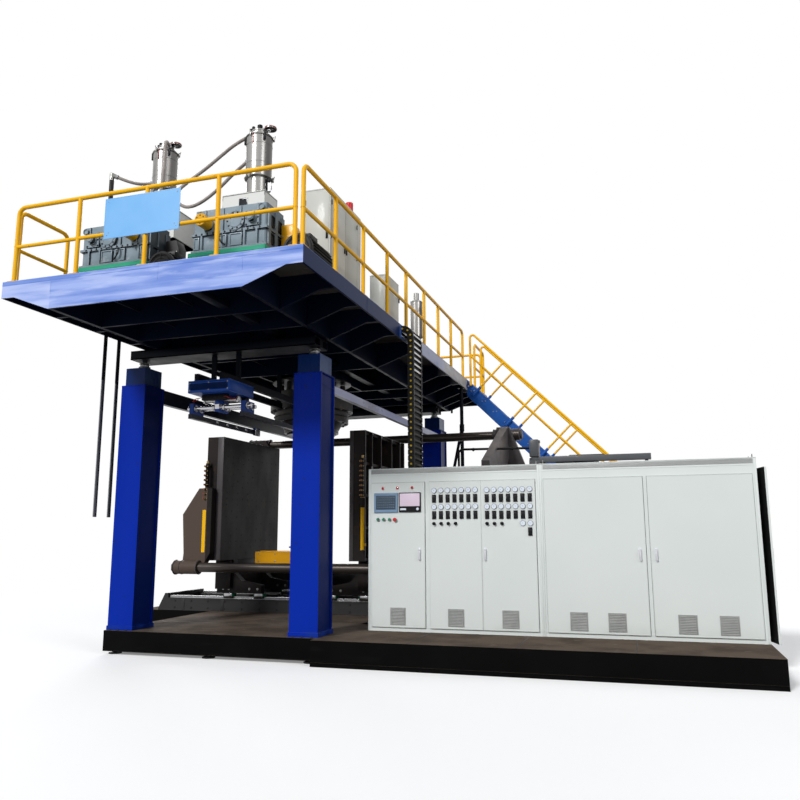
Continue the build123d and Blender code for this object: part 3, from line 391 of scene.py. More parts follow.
# Finishes
def finish(name, colour, rough, mottle, metal=0.0, coat=0.0, bump=(60, 0.25), round_edge=2.5,
           layers=(), rough_swing=0.08, stretch=(1, 1, 1), specular=0.15):
    """A finish whose colour, gloss and fine relief vary over the piece.

    mottle is (scale, second colour, amount); bump is (scale, height in mm); each layer is a dict
    with a colour and where it lies: a zone, a facing direction, or patches of a noise.
    """
    material, tree = new_material(name)
    coords = new_node(tree, "TexCoord")
    parts = new_node(tree, "SeparateXYZ", Vector=coords.outputs["Object"])

    def noise(scale, detail, pull=(1, 1, 1)):
        spot = new_node(tree, "Mapping", Vector=coords.outputs["Object"], Scale=pull).outputs[0]
        return new_node(tree, "TexNoise", Vector=spot, Scale=scale, Detail=detail).outputs[0]

    def step(value, low, high):
        return new_node(tree, "MapRange", Value=value, From_Min=low, From_Max=high).outputs[0]

    def times(first, second):
        product = tree.nodes.new("ShaderNodeMath")
        product.operation = "MULTIPLY"
        feed(tree, product.inputs[0], first)
        feed(tree, product.inputs[1], second)
        return product.outputs[0]

    def mixed(factor, under, over):
        mix = tree.nodes.new("ShaderNodeMix")
        mix.data_type = "RGBA"
        feed(tree, mix.inputs["Factor"], factor)
        feed(tree, mix.inputs[6], under)
        feed(tree, mix.inputs[7], over)
        return mix.outputs[2]

    def blended(factor, under, over):
        mix = tree.nodes.new("ShaderNodeMix")
        feed(tree, mix.inputs[0], factor)
        feed(tree, mix.inputs[2], under)
        feed(tree, mix.inputs[3], over)
        return mix.outputs[0]

    swing = noise(3.0, 3.0, stretch)
    scale, second, amount = mottle
    shade = mixed(times(step(noise(scale, 6.0, stretch), 0.35, 0.65), amount), colour, second)
    gloss = new_node(tree, "MapRange", Value=step(swing, 0.3, 0.7),
                     To_Min=max(0.03, rough - rough_swing), To_Max=min(1.0, rough + rough_swing))
    roughness = gloss.outputs[0]
    shine = metal
    for layer in layers:
        mask = layer.get("amount", 1.0)
        if "facing" in layer:
            dot = tree.nodes.new("ShaderNodeVectorMath")
            dot.operation = "DOT_PRODUCT"
            dot.inputs[1].default_value = layer["facing"]
            tree.links.new(coords.outputs["Normal"], dot.inputs[0])
            mask = times(step(dot.outputs["Value"], 0.6, 0.8), mask)
        soft = layer.get("soft", 0.5) * MM
        for axis, span in enumerate(layer.get("zone", ())):
            low, high = span or (None, None)
            if low is not None:
                mask = times(step(parts.outputs[axis], low * MM - soft, low * MM + soft), mask)
            if high is not None:
                mask = times(step(parts.outputs[axis], high * MM + soft, high * MM - soft), mask)
        if "patches" in layer:
            size, low, high = layer["patches"]
            mask = times(step(noise(size, 8.0, layer.get("pull", (1, 1, 1))), low, high), mask)
        shade = mixed(mask, shade, layer["colour"])
        if "rough" in layer:
            roughness = blended(mask, roughness, layer["rough"])
        if "metal" in layer:
            shine = blended(mask, shine, layer["metal"])
    bump_scale, height = bump
    relief = new_node(tree, "Bump", Strength=0.35, Distance=height * MM,
                      Height=noise(bump_scale, 3.0, stretch))
    if round_edge:
        rounding = new_node(tree, "Bevel", Radius=round_edge * MM)
        rounding.samples = 3
        feed(tree, relief.inputs["Normal"], rounding.outputs[0])
    shader = new_node(tree, "BsdfPrincipled", Base_Color=shade, Roughness=roughness, Metallic=shine,
                      Specular_IOR_Level=specular, Normal=relief.outputs[0])
    if coat:
        feed(tree, shader.inputs["Coat Weight"], coat)
        feed(tree, shader.inputs["Coat Roughness"], 0.12)
    new_node(tree, "OutputMaterial", Surface=shader.outputs[0])
    return material


dust = (0.12, 0.105, 0.09)
safety_yellow = (0.9, 0.48, 0.006)
# The cabinet frame's face in the gaps round each door is made grey: painted shade in the gaps.
door_gaps = [
    {"zone": ((left - 5, right + 5), (None, -2102.5), (335, 2115)), "colour": (0.2, 0.21, 0.2),
     "soft": 0.3}
    for left, right in door_spans.values()
]
fascia_front, fascia_right, fascia_left = (None, -4833.8), (2110.8, None), (None, -1604.15)
front_face = (None, fascia_front, None)
cream, cream_mottle_and_painted_shade = (0.66, 0.695, 0.675), (0.62, 0.66, 0.64)
painted_side_shade_blue = (0.0015, 0.01, 0.08)
hopper_grey = {"colour": (0.72, 0.72, 0.69), "metal": 0.0, "rough": 0.5}
heel_steel = {"colour": (0.02, 0.017, 0.016), "soft": 2}


def platen_finish(name, zones):
    """The platens' dark steel with rust and worn patches, and the zones of one platen."""
    return finish(name, (0.013, 0.011, 0.0105), 0.45, bump=(35, 0.7), specular=0.1,
                  mottle=(2.3, (0.021, 0.016, 0.014), 0.8), stretch=(1, 1, 0.5), layers=[
                      {"patches": (6, 0.58, 0.68), "colour": (0.034, 0.023, 0.017), "amount": 0.5},
                      {"patches": (30, 0.66, 0.72), "colour": (0.05, 0.043, 0.04), "amount": 0.5},
                  ] + zones)


finishes = {
    "column_blue": finish(
        "column_blue_paint", (0.001, 0.022, 0.33), 0.34, bump=(25, 0.6), specular=0.07,
        mottle=(1.2, (0.001, 0.018, 0.28), 0.7), stretch=(1, 1, 0.15), layers=[
            # The right and left faces take a darker blue: painted shade on the column sides.
            {"facing": RIGHT, "colour": painted_side_shade_blue, "amount": 0.92},
            {"facing": LEFT, "colour": painted_side_shade_blue, "amount": 0.92},
            {"zone": (None, None, (290, 350)), "colour": (0.008, 0.035, 0.24), "soft": 15,
             "patches": (5, 0.4, 0.7)},
            {"patches": (9, 0.66, 0.72), "colour": (0.01, 0.02, 0.07), "amount": 0.6},
        ]),
    "post_blue": finish(
        "post_blue_paint", (0.003, 0.022, 0.12), 0.32, coat=0.05, bump=(25, 0.6), specular=0.1,
        mottle=(2, (0.006, 0.02, 0.1), 0.7), stretch=(1, 1, 0.2), layers=[
            # Right-facing faces carry lighter patchy streaks as painted reflection.
            {"facing": RIGHT, "colour": (0.09, 0.14, 0.26), "patches": (2.2, 0.42, 0.62),
             "pull": (1, 1, 0.4), "amount": 0.75},
            {"zone": (None, None, (3687.5, None)), "colour": (0.1, 0.1, 0.11), "metal": 0.9,
             "rough": 0.35},
        ]),
    # Platform frame: the near-black navy, darker still on downward faces, is painted shade under the
    # platform.
    "frame_blue": finish(
        "platform_paint", (0.0025, 0.0045, 0.014), 0.45, bump=(14, 0.9), specular=0.05,
        mottle=(1.0, (0.005, 0.009, 0.027), 0.7), layers=[
            {"facing": DOWN, "colour": (0.001, 0.002, 0.007), "amount": 0.9},
            # Front face: the blue paint is lightened to pale blue by painted reflection, with lighter
            # and darker bands and streaks of painted sheen.
            {"zone": front_face, "colour": (0.36, 0.46, 0.83), "soft": 0.1, "rough": 0.35},
            {"zone": (None, fascia_front, (4236, None)), "colour": (0.17, 0.28, 0.68),
             "soft": 0.1, "amount": 0.8},
            {"zone": front_face, "colour": (0.14, 0.24, 0.64), "soft": 0.1,
             "patches": (1.8, 0.42, 0.6), "pull": (0.45, 1, 6), "amount": 0.8},
            {"zone": front_face, "colour": (0.52, 0.6, 0.9), "soft": 0.1,
             "patches": (3.1, 0.52, 0.62), "pull": (0.5, 1, 4), "amount": 0.5},
            {"zone": ((1050, None), fascia_front, (4215, None)), "colour": (0.03, 0.12, 0.5),
             "soft": 30, "patches": (1.7, 0.4, 0.58), "pull": (0.6, 1, 5), "amount": 0.85},
            {"zone": ((None, -934), fascia_front, (None, 4236)), "colour": (0.55, 0.62, 0.9),
             "soft": 0.1, "patches": (1.4, 0.35, 0.6), "pull": (0.5, 1, 4), "amount": 0.8},
            {"zone": (None, fascia_front, (None, 3965)), "colour": (0.2, 0.3, 0.66),
             "soft": 12, "patches": (2.6, 0.4, 0.62), "pull": (0.6, 1, 1), "amount": 0.6},
            # Right fascia: dark navy towards the front as painted shade, turning blue and then near
            # white towards the back as painted reflection.
            {"zone": (fascia_right, (None, -1800), None), "colour": (0.004, 0.016, 0.075),
             "soft": 0.1, "rough": 0.35},
            {"zone": (fascia_right, (-1800, 600), None), "colour": (0.04, 0.1, 0.34),
             "soft": 0.1},
            {"zone": (fascia_right, (-1500, None), None), "colour": (0.84, 0.84, 0.88),
             "soft": 60, "patches": (0.9, 0.3, 0.5), "pull": (1, 1, 3)},
            {"zone": (fascia_right, (600, None), None), "colour": (0.84, 0.83, 0.84),
             "soft": 200, "amount": 0.8},
            {"zone": (fascia_right, (-1500, None), (None, 4180)), "colour": (0.2, 0.27, 0.5),
             "soft": 4, "patches": (3, 0.5, 0.62), "pull": (1, 1, 2), "amount": 0.6},
            # Left of the platform below 4090 mm the frame is dark grey; the two narrow strips at y -3120
            # and -2850 are pale grey only below 3500 mm, so that above it they stay dark as painted
            # shade under the platform.
            {"zone": (fascia_left, None, (None, 4090)), "colour": (0.02, 0.02, 0.022),
             "soft": 0.1},
            {"zone": (fascia_left, (-3120, -3078), (None, 3500)), "colour": (0.3, 0.3, 0.3),
             "soft": 3},
            {"zone": (fascia_left, (-2850, -2810), (None, 3500)), "colour": (0.3, 0.3, 0.3),
             "soft": 3},
        ]),
    "beam_black": finish(
        "beam_paint", (0.003, 0.004, 0.008), 0.42, mottle=(2, (0.006, 0.007, 0.012), 0.6),
        specular=0.06),
    # Braces: the pale grey-blue on the sides of the braces right of centre is painted reflection; the
    # braces at the left and all top and bottom faces are near-black navy as painted shade.
    "brace_blue": finish(
        "brace_paint", (0.42, 0.44, 0.6), 0.34, mottle=(1.5, (0.2, 0.22, 0.4), 0.8),
        stretch=(1, 0.3, 1), specular=0.2, layers=[
            {"zone": ((None, 0), None, None), "colour": (0.004, 0.007, 0.02)},
            {"facing": UP, "colour": (0.008, 0.012, 0.035)},
            {"facing": DOWN, "colour": (0.008, 0.012, 0.035)},
        ]),
    "rail_yellow": finish(
        "rail_paint", safety_yellow, 0.36, bump=(40, 0.4),
        mottle=(3, (0.86, 0.42, 0.005), 0.6), layers=[
            {"patches": (14, 0.68, 0.74), "colour": (0.3, 0.16, 0.02), "amount": 0.7},
        ]),
    "cabinet_cream": finish(
        "cabinet_paint", cream, 0.42, coat=0.08, bump=(220, 0.15),
        mottle=(0.8, cream_mottle_and_painted_shade, 0.8), round_edge=2, layers=[
            {"zone": (None, None, (None, 420)), "colour": (0.46, 0.47, 0.44), "soft": 60,
             "patches": (3, 0.42, 0.7), "amount": 0.35},
        ]),
    "cabinet_back": finish(
        "cabinet_frame_paint", (0.68, 0.72, 0.7), 0.4, coat=0.08, bump=(220, 0.15),
        mottle=(0.8, (0.63, 0.67, 0.65), 0.8), layers=door_gaps),
    "end_door": finish(
        "end_door_paint", (0.012, 0.012, 0.013), 0.45, bump=(220, 0.15),
        mottle=(0.9, (0.02, 0.02, 0.02), 0.7), layers=[
            # End door: cream on the front faces; the right-facing faces take the darker cream as painted
            # shade; other faces stay near black.
            {"facing": FRONT, "colour": cream},
            {"facing": RIGHT, "colour": cream_mottle_and_painted_shade},
        ]),
    "platform_cabinet": finish(
        "platform_cabinet_paint", (0.55, 0.555, 0.52), 0.42, coat=0.08, bump=(220, 0.15),
        mottle=(0.9, (0.46, 0.475, 0.43), 0.8), layers=[
            {"zone": (None, None, (5545.5, 5600)), "colour": (0.02, 0.02, 0.02)},
            {"zone": (None, (-2700, None), (5600, None)), "colour": (0.6, 0.02, 0.015)},
        ]),
    "base_black": finish(
        "skid_paint", (0.0018, 0.0018, 0.0017), 0.4, bump=(20, 0.8), specular=0.03,
        mottle=(2.5, (0.003, 0.003, 0.003), 0.7), layers=[
            {"facing": UP, "colour": (0.105, 0.08, 0.062), "rough": 0.8},
            {"facing": UP, "colour": (0.055, 0.043, 0.034), "patches": (2.4, 0.45, 0.62),
             "amount": 0.8},
            {"facing": UP, "colour": (0.17, 0.14, 0.11), "patches": (7, 0.6, 0.72),
             "amount": 0.5},
            {"facing": FRONT, "colour": (0.008, 0.008, 0.008), "patches": (5, 0.6, 0.75),
             "pull": (0.3, 1, 2), "amount": 0.6},
        ]),
    "deck_plate": finish(
        "deck_sheet", (0.045, 0.038, 0.032), 0.7, bump=(30, 1.2),
        mottle=(2.2, (0.025, 0.022, 0.02), 0.8), layers=[
            # Front and right edges take the fascia's blue: pale in front as painted reflection, darker
            # on the right as painted shade.
            {"facing": FRONT, "colour": (0.35, 0.455, 0.8)},
            {"facing": RIGHT, "colour": (0.1, 0.15, 0.3)},
            {"patches": (8, 0.6, 0.75), "colour": dust, "amount": 0.5},
        ]),
    "clamp_dark": platen_finish("platen_steel", [
        {"zone": (None, (None, -935.5), (1210, 1846)), "colour": safety_yellow, "soft": 0.3,
         "rough": 0.35},
    ]),
    "left_platen": platen_finish("left_platen_steel", [
        {"zone": ((None, -1240), (None, -935.5), (900, 2200)), "colour": (0.085, 0.062, 0.048),
         "soft": 2, "rough": 0.5},
        {"zone": ((-1312, -1254), (None, -975), (1210, 1846)), "colour": safety_yellow,
         "soft": 0.3, "rough": 0.35},
        {"zone": ((None, -1560), (None, -1200), (880, 1100)), **heel_steel},
        {"zone": ((None, -1560), (-1000, None), (880, 1100)), **heel_steel},
    ]),
    "yoke_steel": finish(
        "yoke_paint", (0.06, 0.053, 0.056), 0.42, bump=(30, 0.8), specular=0.2,
        mottle=(2, (0.085, 0.075, 0.077), 0.7), layers=[
            {"patches": (6, 0.6, 0.7), "colour": (0.035, 0.029, 0.03), "amount": 0.6},
        ]),
    "tie_steel": finish(
        "tie_bar_steel", (0.07, 0.06, 0.053), 0.3, metal=0.6, bump=(50, 0.2),
        mottle=(3, (0.045, 0.038, 0.034), 0.7), stretch=(0.2, 1, 1)),
    "bed_dark": finish(
        "bed_paint", (0.026, 0.026, 0.026), 0.42, bump=(30, 0.7),
        mottle=(2.5, (0.03, 0.029, 0.028), 0.7), layers=[
            {"facing": UP, "colour": (0.05, 0.043, 0.036), "patches": (4, 0.4, 0.65),
             "rough": 0.7, "amount": 0.7},
        ]),
    "blow_unit": finish(
        "blow_station_paint", (0.018, 0.018, 0.019), 0.42, mottle=(3, (0.03, 0.03, 0.03), 0.7),
        specular=0.2, layers=[
            {"zone": (None, (None, -779.9), None), "colour": (0.66, 0.31, 0.003), "soft": 0.05,
             "rough": 0.35},
        ]),
    "gearbox_grey": finish(
        "gearbox_paint", (0.26, 0.33, 0.38), 0.42, coat=0.05, bump=(70, 0.9),
        mottle=(4, (0.19, 0.25, 0.295), 0.8), round_edge=5, layers=[
            # Gearboxes: the lighter patches are painted highlights; right, left and downward faces are
            # darker as painted shade, the left gearbox's right side nearly black.
            {"patches": (9, 0.6, 0.7), "colour": (0.42, 0.47, 0.5), "amount": 0.5},
            {"facing": RIGHT, "colour": (0.09, 0.115, 0.135), "amount": 0.6},
            {"zone": ((None, 0), None, None), "facing": RIGHT, "colour": (0.012, 0.012, 0.014),
             "amount": 0.8},
            {"facing": LEFT, "colour": (0.05, 0.07, 0.085), "amount": 0.75},
            {"facing": DOWN, "colour": (0.01, 0.012, 0.014)},
        ]),
    "stand_green": finish(
        "stand_paint", (0.025, 0.026, 0.028), 0.45, mottle=(3, (0.04, 0.04, 0.04), 0.6),
        specular=0.2, layers=[
            {"zone": (None, None, (4619, None)), "colour": (0.03, 0.42, 0.24), "soft": 0.3},
        ]),
    # Loaders: the darker vertical streaks of the mottle are painted reflections of dark surroundings,
    # and right-facing faces are darkened as painted shade.
    "stainless": finish(
        "loader_stainless", (0.36, 0.355, 0.345), 0.3, metal=0.9, bump=(40, 0.15),
        mottle=(3, (0.2, 0.19, 0.18), 0.8), stretch=(5, 5, 0.3), round_edge=3, layers=[
            {"facing": RIGHT, "colour": (0.07, 0.066, 0.063), "amount": 0.75},
            {"zone": ((380, 961), (-3541, -3219), (5209, 5610.5)), **hopper_grey},
            {"zone": ((-961, -380), (-3431, -2939), (5209, 5610.5)), **hopper_grey},
            {"zone": ((None, -1355), None, (None, 6150)), "colour": (0.015, 0.014, 0.014),
             "metal": 0.0, "rough": 0.4},
        ]),
    "barrel_steel": finish(
        "heater_cover", (0.2, 0.2, 0.2), 0.38, metal=0.8, bump=(60, 0.3),
        mottle=(3, (0.13, 0.125, 0.12), 0.7), stretch=(1, 0.4, 1)),
    "head_bands": finish(
        "heater_band", (0.1, 0.095, 0.09), 0.4, metal=0.7, bump=(60, 0.3),
        mottle=(3, (0.06, 0.055, 0.05), 0.7)),
    "steel": finish(
        "ground_steel", (0.4, 0.4, 0.41), 0.28, metal=1.0, bump=(120, 0.12),
        mottle=(6, (0.26, 0.26, 0.26), 0.6)),
    "head_steel": finish(
        "die_head_steel", (0.022, 0.021, 0.02), 0.4, metal=0.3, bump=(40, 0.6), specular=0.2,
        mottle=(4, (0.035, 0.031, 0.028), 0.8), layers=[
            {"patches": (10, 0.58, 0.68), "colour": (0.07, 0.05, 0.035), "amount": 0.5},
        ]),
    "chrome": finish(
        "rod_chrome", (0.6, 0.6, 0.62), 0.12, metal=1.0, bump=(90, 0.05), rough_swing=0.04,
        mottle=(8, (0.45, 0.45, 0.47), 0.4)),
    "motor_black": finish(
        "motor_casting", (0.012, 0.012, 0.013), 0.48, bump=(110, 0.6), specular=0.2,
        mottle=(8, (0.025, 0.024, 0.023), 0.7)),
    "guard_yellow": finish(
        "guard_paint", (0.78, 0.39, 0.006), 0.36, coat=0.12, mottle=(3, (0.68, 0.32, 0.005), 0.7),
        layers=[{"patches": (11, 0.64, 0.72), "colour": (0.2, 0.11, 0.02), "amount": 0.5}]),
    "chain_black": finish(
        "chain_plastic", (0.01, 0.01, 0.011), 0.45, mottle=(8, (0.02, 0.02, 0.02), 0.7),
        specular=0.2),
    "pin_yellow": finish(
        "chain_pin_plastic", (0.88, 0.58, 0.012), 0.4, mottle=(20, (0.8, 0.5, 0.01), 0.5)),
    "bar_silver": finish(
        "chain_bar_metal", (0.5, 0.5, 0.52), 0.3, metal=1.0, mottle=(10, (0.36, 0.36, 0.37), 0.5)),
    "black_plastic": finish(
        "instrument_plastic", (0.008, 0.008, 0.01), 0.42, mottle=(30, (0.013, 0.013, 0.015), 0.6),
        bump=(300, 0.08), round_edge=1, specular=0.08),
    "display": finish(
        "display_glass", (0.008, 0.01, 0.014), 0.12, coat=0.3, mottle=(12, (0.014, 0.016, 0.022), 0.5),
        bump=(100, 0.02), round_edge=0),
    "digits": finish(
        "display_bar", (0.03, 0.006, 0.005), 0.3, mottle=(40, (0.02, 0.004, 0.004), 0.5),
        bump=(100, 0.02), round_edge=0),
    "pale_screen": finish(
        "pale_screen_glass", (0.72, 0.58, 0.7), 0.25, coat=0.3, mottle=(3, (0.76, 0.64, 0.74), 0.8),
        bump=(100, 0.02), round_edge=0),
    "panel_grey": finish(
        "keypad_film", (0.17, 0.26, 0.38), 0.45, mottle=(6, (0.21, 0.31, 0.43), 0.8),
        bump=(200, 0.05), round_edge=1),
    "key_dark": finish(
        "key_film", (0.045, 0.07, 0.1), 0.45, mottle=(20, (0.065, 0.095, 0.13), 0.6),
        bump=(200, 0.05), round_edge=1),
    "key_pale": finish(
        "key_print", (0.5, 0.56, 0.62), 0.4, mottle=(20, (0.4, 0.46, 0.52), 0.6),
        bump=(200, 0.05), round_edge=1),
    "gauge_face": finish(
        "gauge_face", (0.7, 0.75, 0.82), 0.3, coat=0.2, mottle=(20, (0.62, 0.68, 0.78), 0.6),
        bump=(100, 0.02), round_edge=0),
    "bezel_metal": finish(
        "meter_bezel_metal", (0.24, 0.27, 0.33), 0.35, metal=0.4, mottle=(20, (0.18, 0.2, 0.25), 0.6),
        bump=(100, 0.02), round_edge=0.5),
    "louvre_grey": finish(
        "louvre_plastic", (0.34, 0.345, 0.335), 0.5, mottle=(12, (0.27, 0.28, 0.27), 0.7),
        bump=(150, 0.1), round_edge=1),
    "strip_grey": finish(
        "cap_strip_alloy", (0.45, 0.46, 0.455), 0.4, metal=0.2, mottle=(3, (0.38, 0.39, 0.385), 0.7),
        stretch=(0.2, 1, 1), round_edge=1),
    "handle_pale": finish(
        "handle_coating", (0.6, 0.61, 0.64), 0.4, metal=0.2, mottle=(20, (0.5, 0.5, 0.53), 0.6),
        round_edge=1.5),
    "button_green": finish(
        "green_cap", (0.005, 0.22, 0.1), 0.3, coat=0.3, mottle=(40, (0.004, 0.17, 0.08), 0.5),
        round_edge=1),
    "button_red": finish(
        "red_cap", (0.62, 0.012, 0.02), 0.28, coat=0.3, mottle=(40, (0.5, 0.01, 0.016), 0.5),
        round_edge=1),
    "sign_blue": finish(
        "sign_sheet", (0.16, 0.43, 0.82), 0.36, coat=0.05, mottle=(1.1, (0.25, 0.52, 0.87), 0.9),
        bump=(3, 1.2), round_edge=1),
    "hose_grey": finish(
        "hose_wall", (0.38, 0.34, 0.315), 0.4, coat=0.15, mottle=(8, (0.26, 0.225, 0.205), 0.7),
        round_edge=0),
    "stair_blue": finish(
        "stair_paint", (0.012, 0.1, 0.42), 0.36, coat=0.15, mottle=(2, (0.01, 0.08, 0.34), 0.7),
        layers=[
            {"zone": (None, (2180, 3061), None), "facing": UP, "colour": (0.08, 0.08, 0.08),
             "rough": 0.6},
        ]),
    "takeout_blue": finish(
        "takeout_paint", (0.012, 0.075, 0.38), 0.36, coat=0.05, mottle=(3, (0.009, 0.055, 0.3), 0.7),
        layers=[
            {"zone": (None, None, (3060, 3120)), "colour": (0.5, 0.5, 0.52), "metal": 1.0,
             "rough": 0.2, "soft": 0.3},
        ]),
    "arm_dark": finish(
        "arm_paint", (0.01, 0.012, 0.02), 0.38, mottle=(3, (0.018, 0.02, 0.034), 0.7),
        specular=0.2, layers=[
            {"zone": (None, None, (3011, None)), "colour": (0.008, 0.045, 0.25)},
        ]),
    "tank_grey": finish(
        "tank_paint", (0.1, 0.105, 0.11), 0.42, coat=0.1, mottle=(2, (0.075, 0.08, 0.088), 0.7)),
    "valve_red": finish(
        "valve_red", (0.42, 0.012, 0.012), 0.38, mottle=(30, (0.32, 0.01, 0.01), 0.5)),
    "wire_red": finish(
        "wire_red", (0.36, 0.018, 0.018), 0.4, mottle=(30, (0.26, 0.014, 0.014), 0.5),
        round_edge=0),
    "weld": finish(
        "weld_bead", (0.02, 0.02, 0.022), 0.45, metal=0.3, bump=(160, 1.2),
        mottle=(30, (0.035, 0.035, 0.04), 0.7), round_edge=0),
    "brass": finish(
        "valve_brass", (0.36, 0.25, 0.1), 0.35, metal=0.8, mottle=(40, (0.22, 0.15, 0.06), 0.6),
        round_edge=1),
    "bolt_zinc": finish(
        "zinc_bolt", (0.28, 0.28, 0.28), 0.38, metal=0.85, mottle=(40, (0.18, 0.175, 0.17), 0.6),
        round_edge=1),
    "bolt_dark": finish(
        "dark_bolt", (0.02, 0.02, 0.022), 0.42, metal=0.4, mottle=(40, (0.04, 0.038, 0.037), 0.6),
        round_edge=1),
}

node_finish = {
    "base_frame": "base_black", "levelling_pads": "bolt_dark", "columns": "column_blue",
    "column_braces": "brace_blue", "clamp_bed": "bed_dark", "guide_rails": "steel",
    "control_skid": "base_black", "cabinet_left": "cabinet_back", "cabinet_right": "cabinet_back",
    "hydraulic_unit": "tank_grey", "blow_unit": "blow_unit", "blow_pins": "chrome",
    "end_door": "end_door", "platform_frame": "frame_blue", "platform_deck": "deck_plate",
    "cross_beams": "beam_black", "lift_posts": "post_blue", "handrails": "rail_yellow",
    "sign_plate": "sign_blue", "extruder_stands": "stand_green", "gearbox_left": "gearbox_grey",
    "gearbox_right": "gearbox_grey", "extruder_barrels": "barrel_steel", "loaders": "stainless",
    "platform_cabinets": "platform_cabinet", "die_head": "head_steel", "die_core": "steel",
    "cable_chain": "chain_black", "stair": "stair_blue", "left_platen": "left_platen",
    "right_platen": "clamp_dark", "yoke": "yoke_steel", "tie_bars": "tie_steel",
    "clamp_cylinder": "tank_grey", "piston_rod": "chrome", "takeout_rails": "beam_black",
    "takeout_carriage": "takeout_blue", "gripper_left": "arm_dark", "gripper_right": "arm_dark",
    "stop_button": "button_red", "drive_motors": "motor_black", "instruments_1": "black_plastic",
    "instruments_2": "black_plastic", "instruments_3": "black_plastic",
}


def finish_for(node):
    """The name of a CAD node's finish."""
    if node in node_finish:
        return node_finish[node]
    for start, coat in (("door", "cabinet_cream"), ("green_button", "button_green"),
                        ("handle", "handle_pale")):
        if node.startswith(start):
            return coat
    return "hose_grey"


def paint_nodes():
    for name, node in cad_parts.items():
        node.data.materials.clear()
        node.data.materials.append(finishes[finish_for(name)])


# Hoses between the loaders
hose_radius = 22.5
hose_rib = 9
hose_routes = {
    "hose_1": [
        (-1340, -3370, 6200), (-1245, -3322, 6160), (-1150, -3225, 6150), (-1075, -3150, 6165),
        (-1010, -3120, 6180),
    ],
    "hose_2": [
        (640, -3400, 6440), (450, -3385, 6388), (220, -3355, 6270), (-30, -3310, 6150),
        (-290, -3272, 6045), (-480, -3252, 5945), (-585, -3250, 5825), (-622, -3252, 5700),
    ],
    "hose_3": [
        (612, -3400, 6090), (430, -3383, 5985), (221, -3340, 5850), (20, -3300, 5752),
        (-160, -3262, 5697), (-330, -3222, 5695), (-470, -3180, 5760), (-570, -3150, 5850),
    ],
    "hose_4": [
        (-690, -3215, 6650), (-667, -3270, 6650), (-645, -3321, 6627), (-628, -3360, 6585),
        (-619, -3382, 6529), (-612, -3390, 6440), (-605, -3400, 6290), (-610, -3402, 6110),
        (-630, -3400, 5930), (-652, -3395, 5790), (-660, -3390, 5700),
    ],
}


def hose_line(name):
    """The points of the smooth line that a hose follows."""
    curve = bpy.data.curves.new(name + "_line", "CURVE")
    curve.dimensions = "3D"
    curve.resolution_u = 24
    spline = curve.splines.new("NURBS")
    route = hose_routes[name]
    spline.points.add(len(route) - 1)
    for point, (x, y, z) in zip(spline.points, route):
        point.co = (*at(x, y, z), 1)
    spline.order_u = 3
    spline.use_endpoint_u = True
    line = bpy.data.objects.new(name + "_line", curve)
    mesh = bpy.data.meshes.new_from_object(line)
    points = [vertex.co.copy() for vertex in mesh.vertices]
    bpy.data.objects.remove(line)
    bpy.data.meshes.remove(mesh)
    return points


def evenly(points, gap):
    """Points a fixed distance apart along a line, with the heading at each."""
    steps = [(b - a).length for a, b in zip(points, points[1:])]
    total = sum(steps)
    count = max(2, round(total / gap))
    found = []
    for n in range(count + 1):
        wanted = total * n / count
        index = 0
        while index < len(steps) - 1 and wanted > steps[index]:
            wanted -= steps[index]
            index += 1
        run = points[index + 1] - points[index]
        found.append((points[index] + run * min(1.0, wanted / steps[index]), run.normalized()))
    return found


def ribbed_hoses():
    """Corrugated hoses: a tube whose radius rises and falls with each rib."""
    sides = 14
    for name in hose_routes:
        line = hose_line(name)
        stations = evenly(line, hose_rib * MM)
        mesh = bmesh.new()
        rings = []
        side_way = Vector((0.3, 1, 0.2)).normalized()
        for index, (centre, heading) in enumerate(stations):
            side_way = (side_way - heading * side_way.dot(heading)).normalized()
            up_way = heading.cross(side_way)
            radius = (hose_radius if index % 2 else hose_radius - 2.2) * MM
            rings.append([
                mesh.verts.new(centre + radius * (math.cos(turn) * side_way + math.sin(turn) * up_way))
                for turn in (2 * math.pi * side / sides for side in range(sides))
            ])
        for lower, upper in zip(rings, rings[1:]):
            for side in range(sides):
                mesh.faces.new((lower[side], lower[(side + 1) % sides], upper[(side + 1) % sides],
                                upper[side]))
        mesh.faces.new(rings[0][::-1])
        mesh.faces.new(rings[-1])
        bmesh.ops.recalc_face_normals(mesh, faces=mesh.faces)
        data = bpy.data.meshes.new(name + "_tube")
        mesh.to_mesh(data)
        mesh.free()
        hose = bpy.data.objects.new(name + "_tube", data)
        bpy.context.collection.objects.link(hose)
        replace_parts(hose, name)
        done(hose, "platform", "hose_grey", smooth=60)


# Columns, posts and base
def column_trim():
    """Weld beads round the collars and caps, the anchor bolts and the seams."""
    beads = []
    for z, half_x, half_y in ((341, 186, 211), (3438, 185.5, 210.5)):
        for side in (-1, 1):
            beads += [round_bar((-half_x, side * half_y, z), (half_x, side * half_y, z), 3.5, 8, 0),
                      round_bar((side * half_x, -half_y, z), (side * half_x, half_y, z), 3.5, 8, 0)]
    spots = [place(x, y, 0) for x, y in column_spots]
    spread("column_welds", join("bead", beads), spots, "base", "column_blue")
    anchors = [place(x + offset, y + side * 245, base_top + 0.5) for x, y in column_spots
               for offset in (-120, 0, 120) for side in (-1, 1)]
    bolts("anchor_bolts", anchors, 15, "base", "bolt_dark")
    seams = []
    for x, y in column_spots:
        seam = slab(x - 185.8, x + 185.8, y - 210.8, y + 210.8, 3290, 3296, 0.5)
        select_faces(seam, lambda normal, centre: abs(normal.z) > 0.9)
        bpy.ops.mesh.delete(type="FACE")
        leave_edit()
        seams.append(seam)
    build("column_seams", seams, "base", "column_blue")


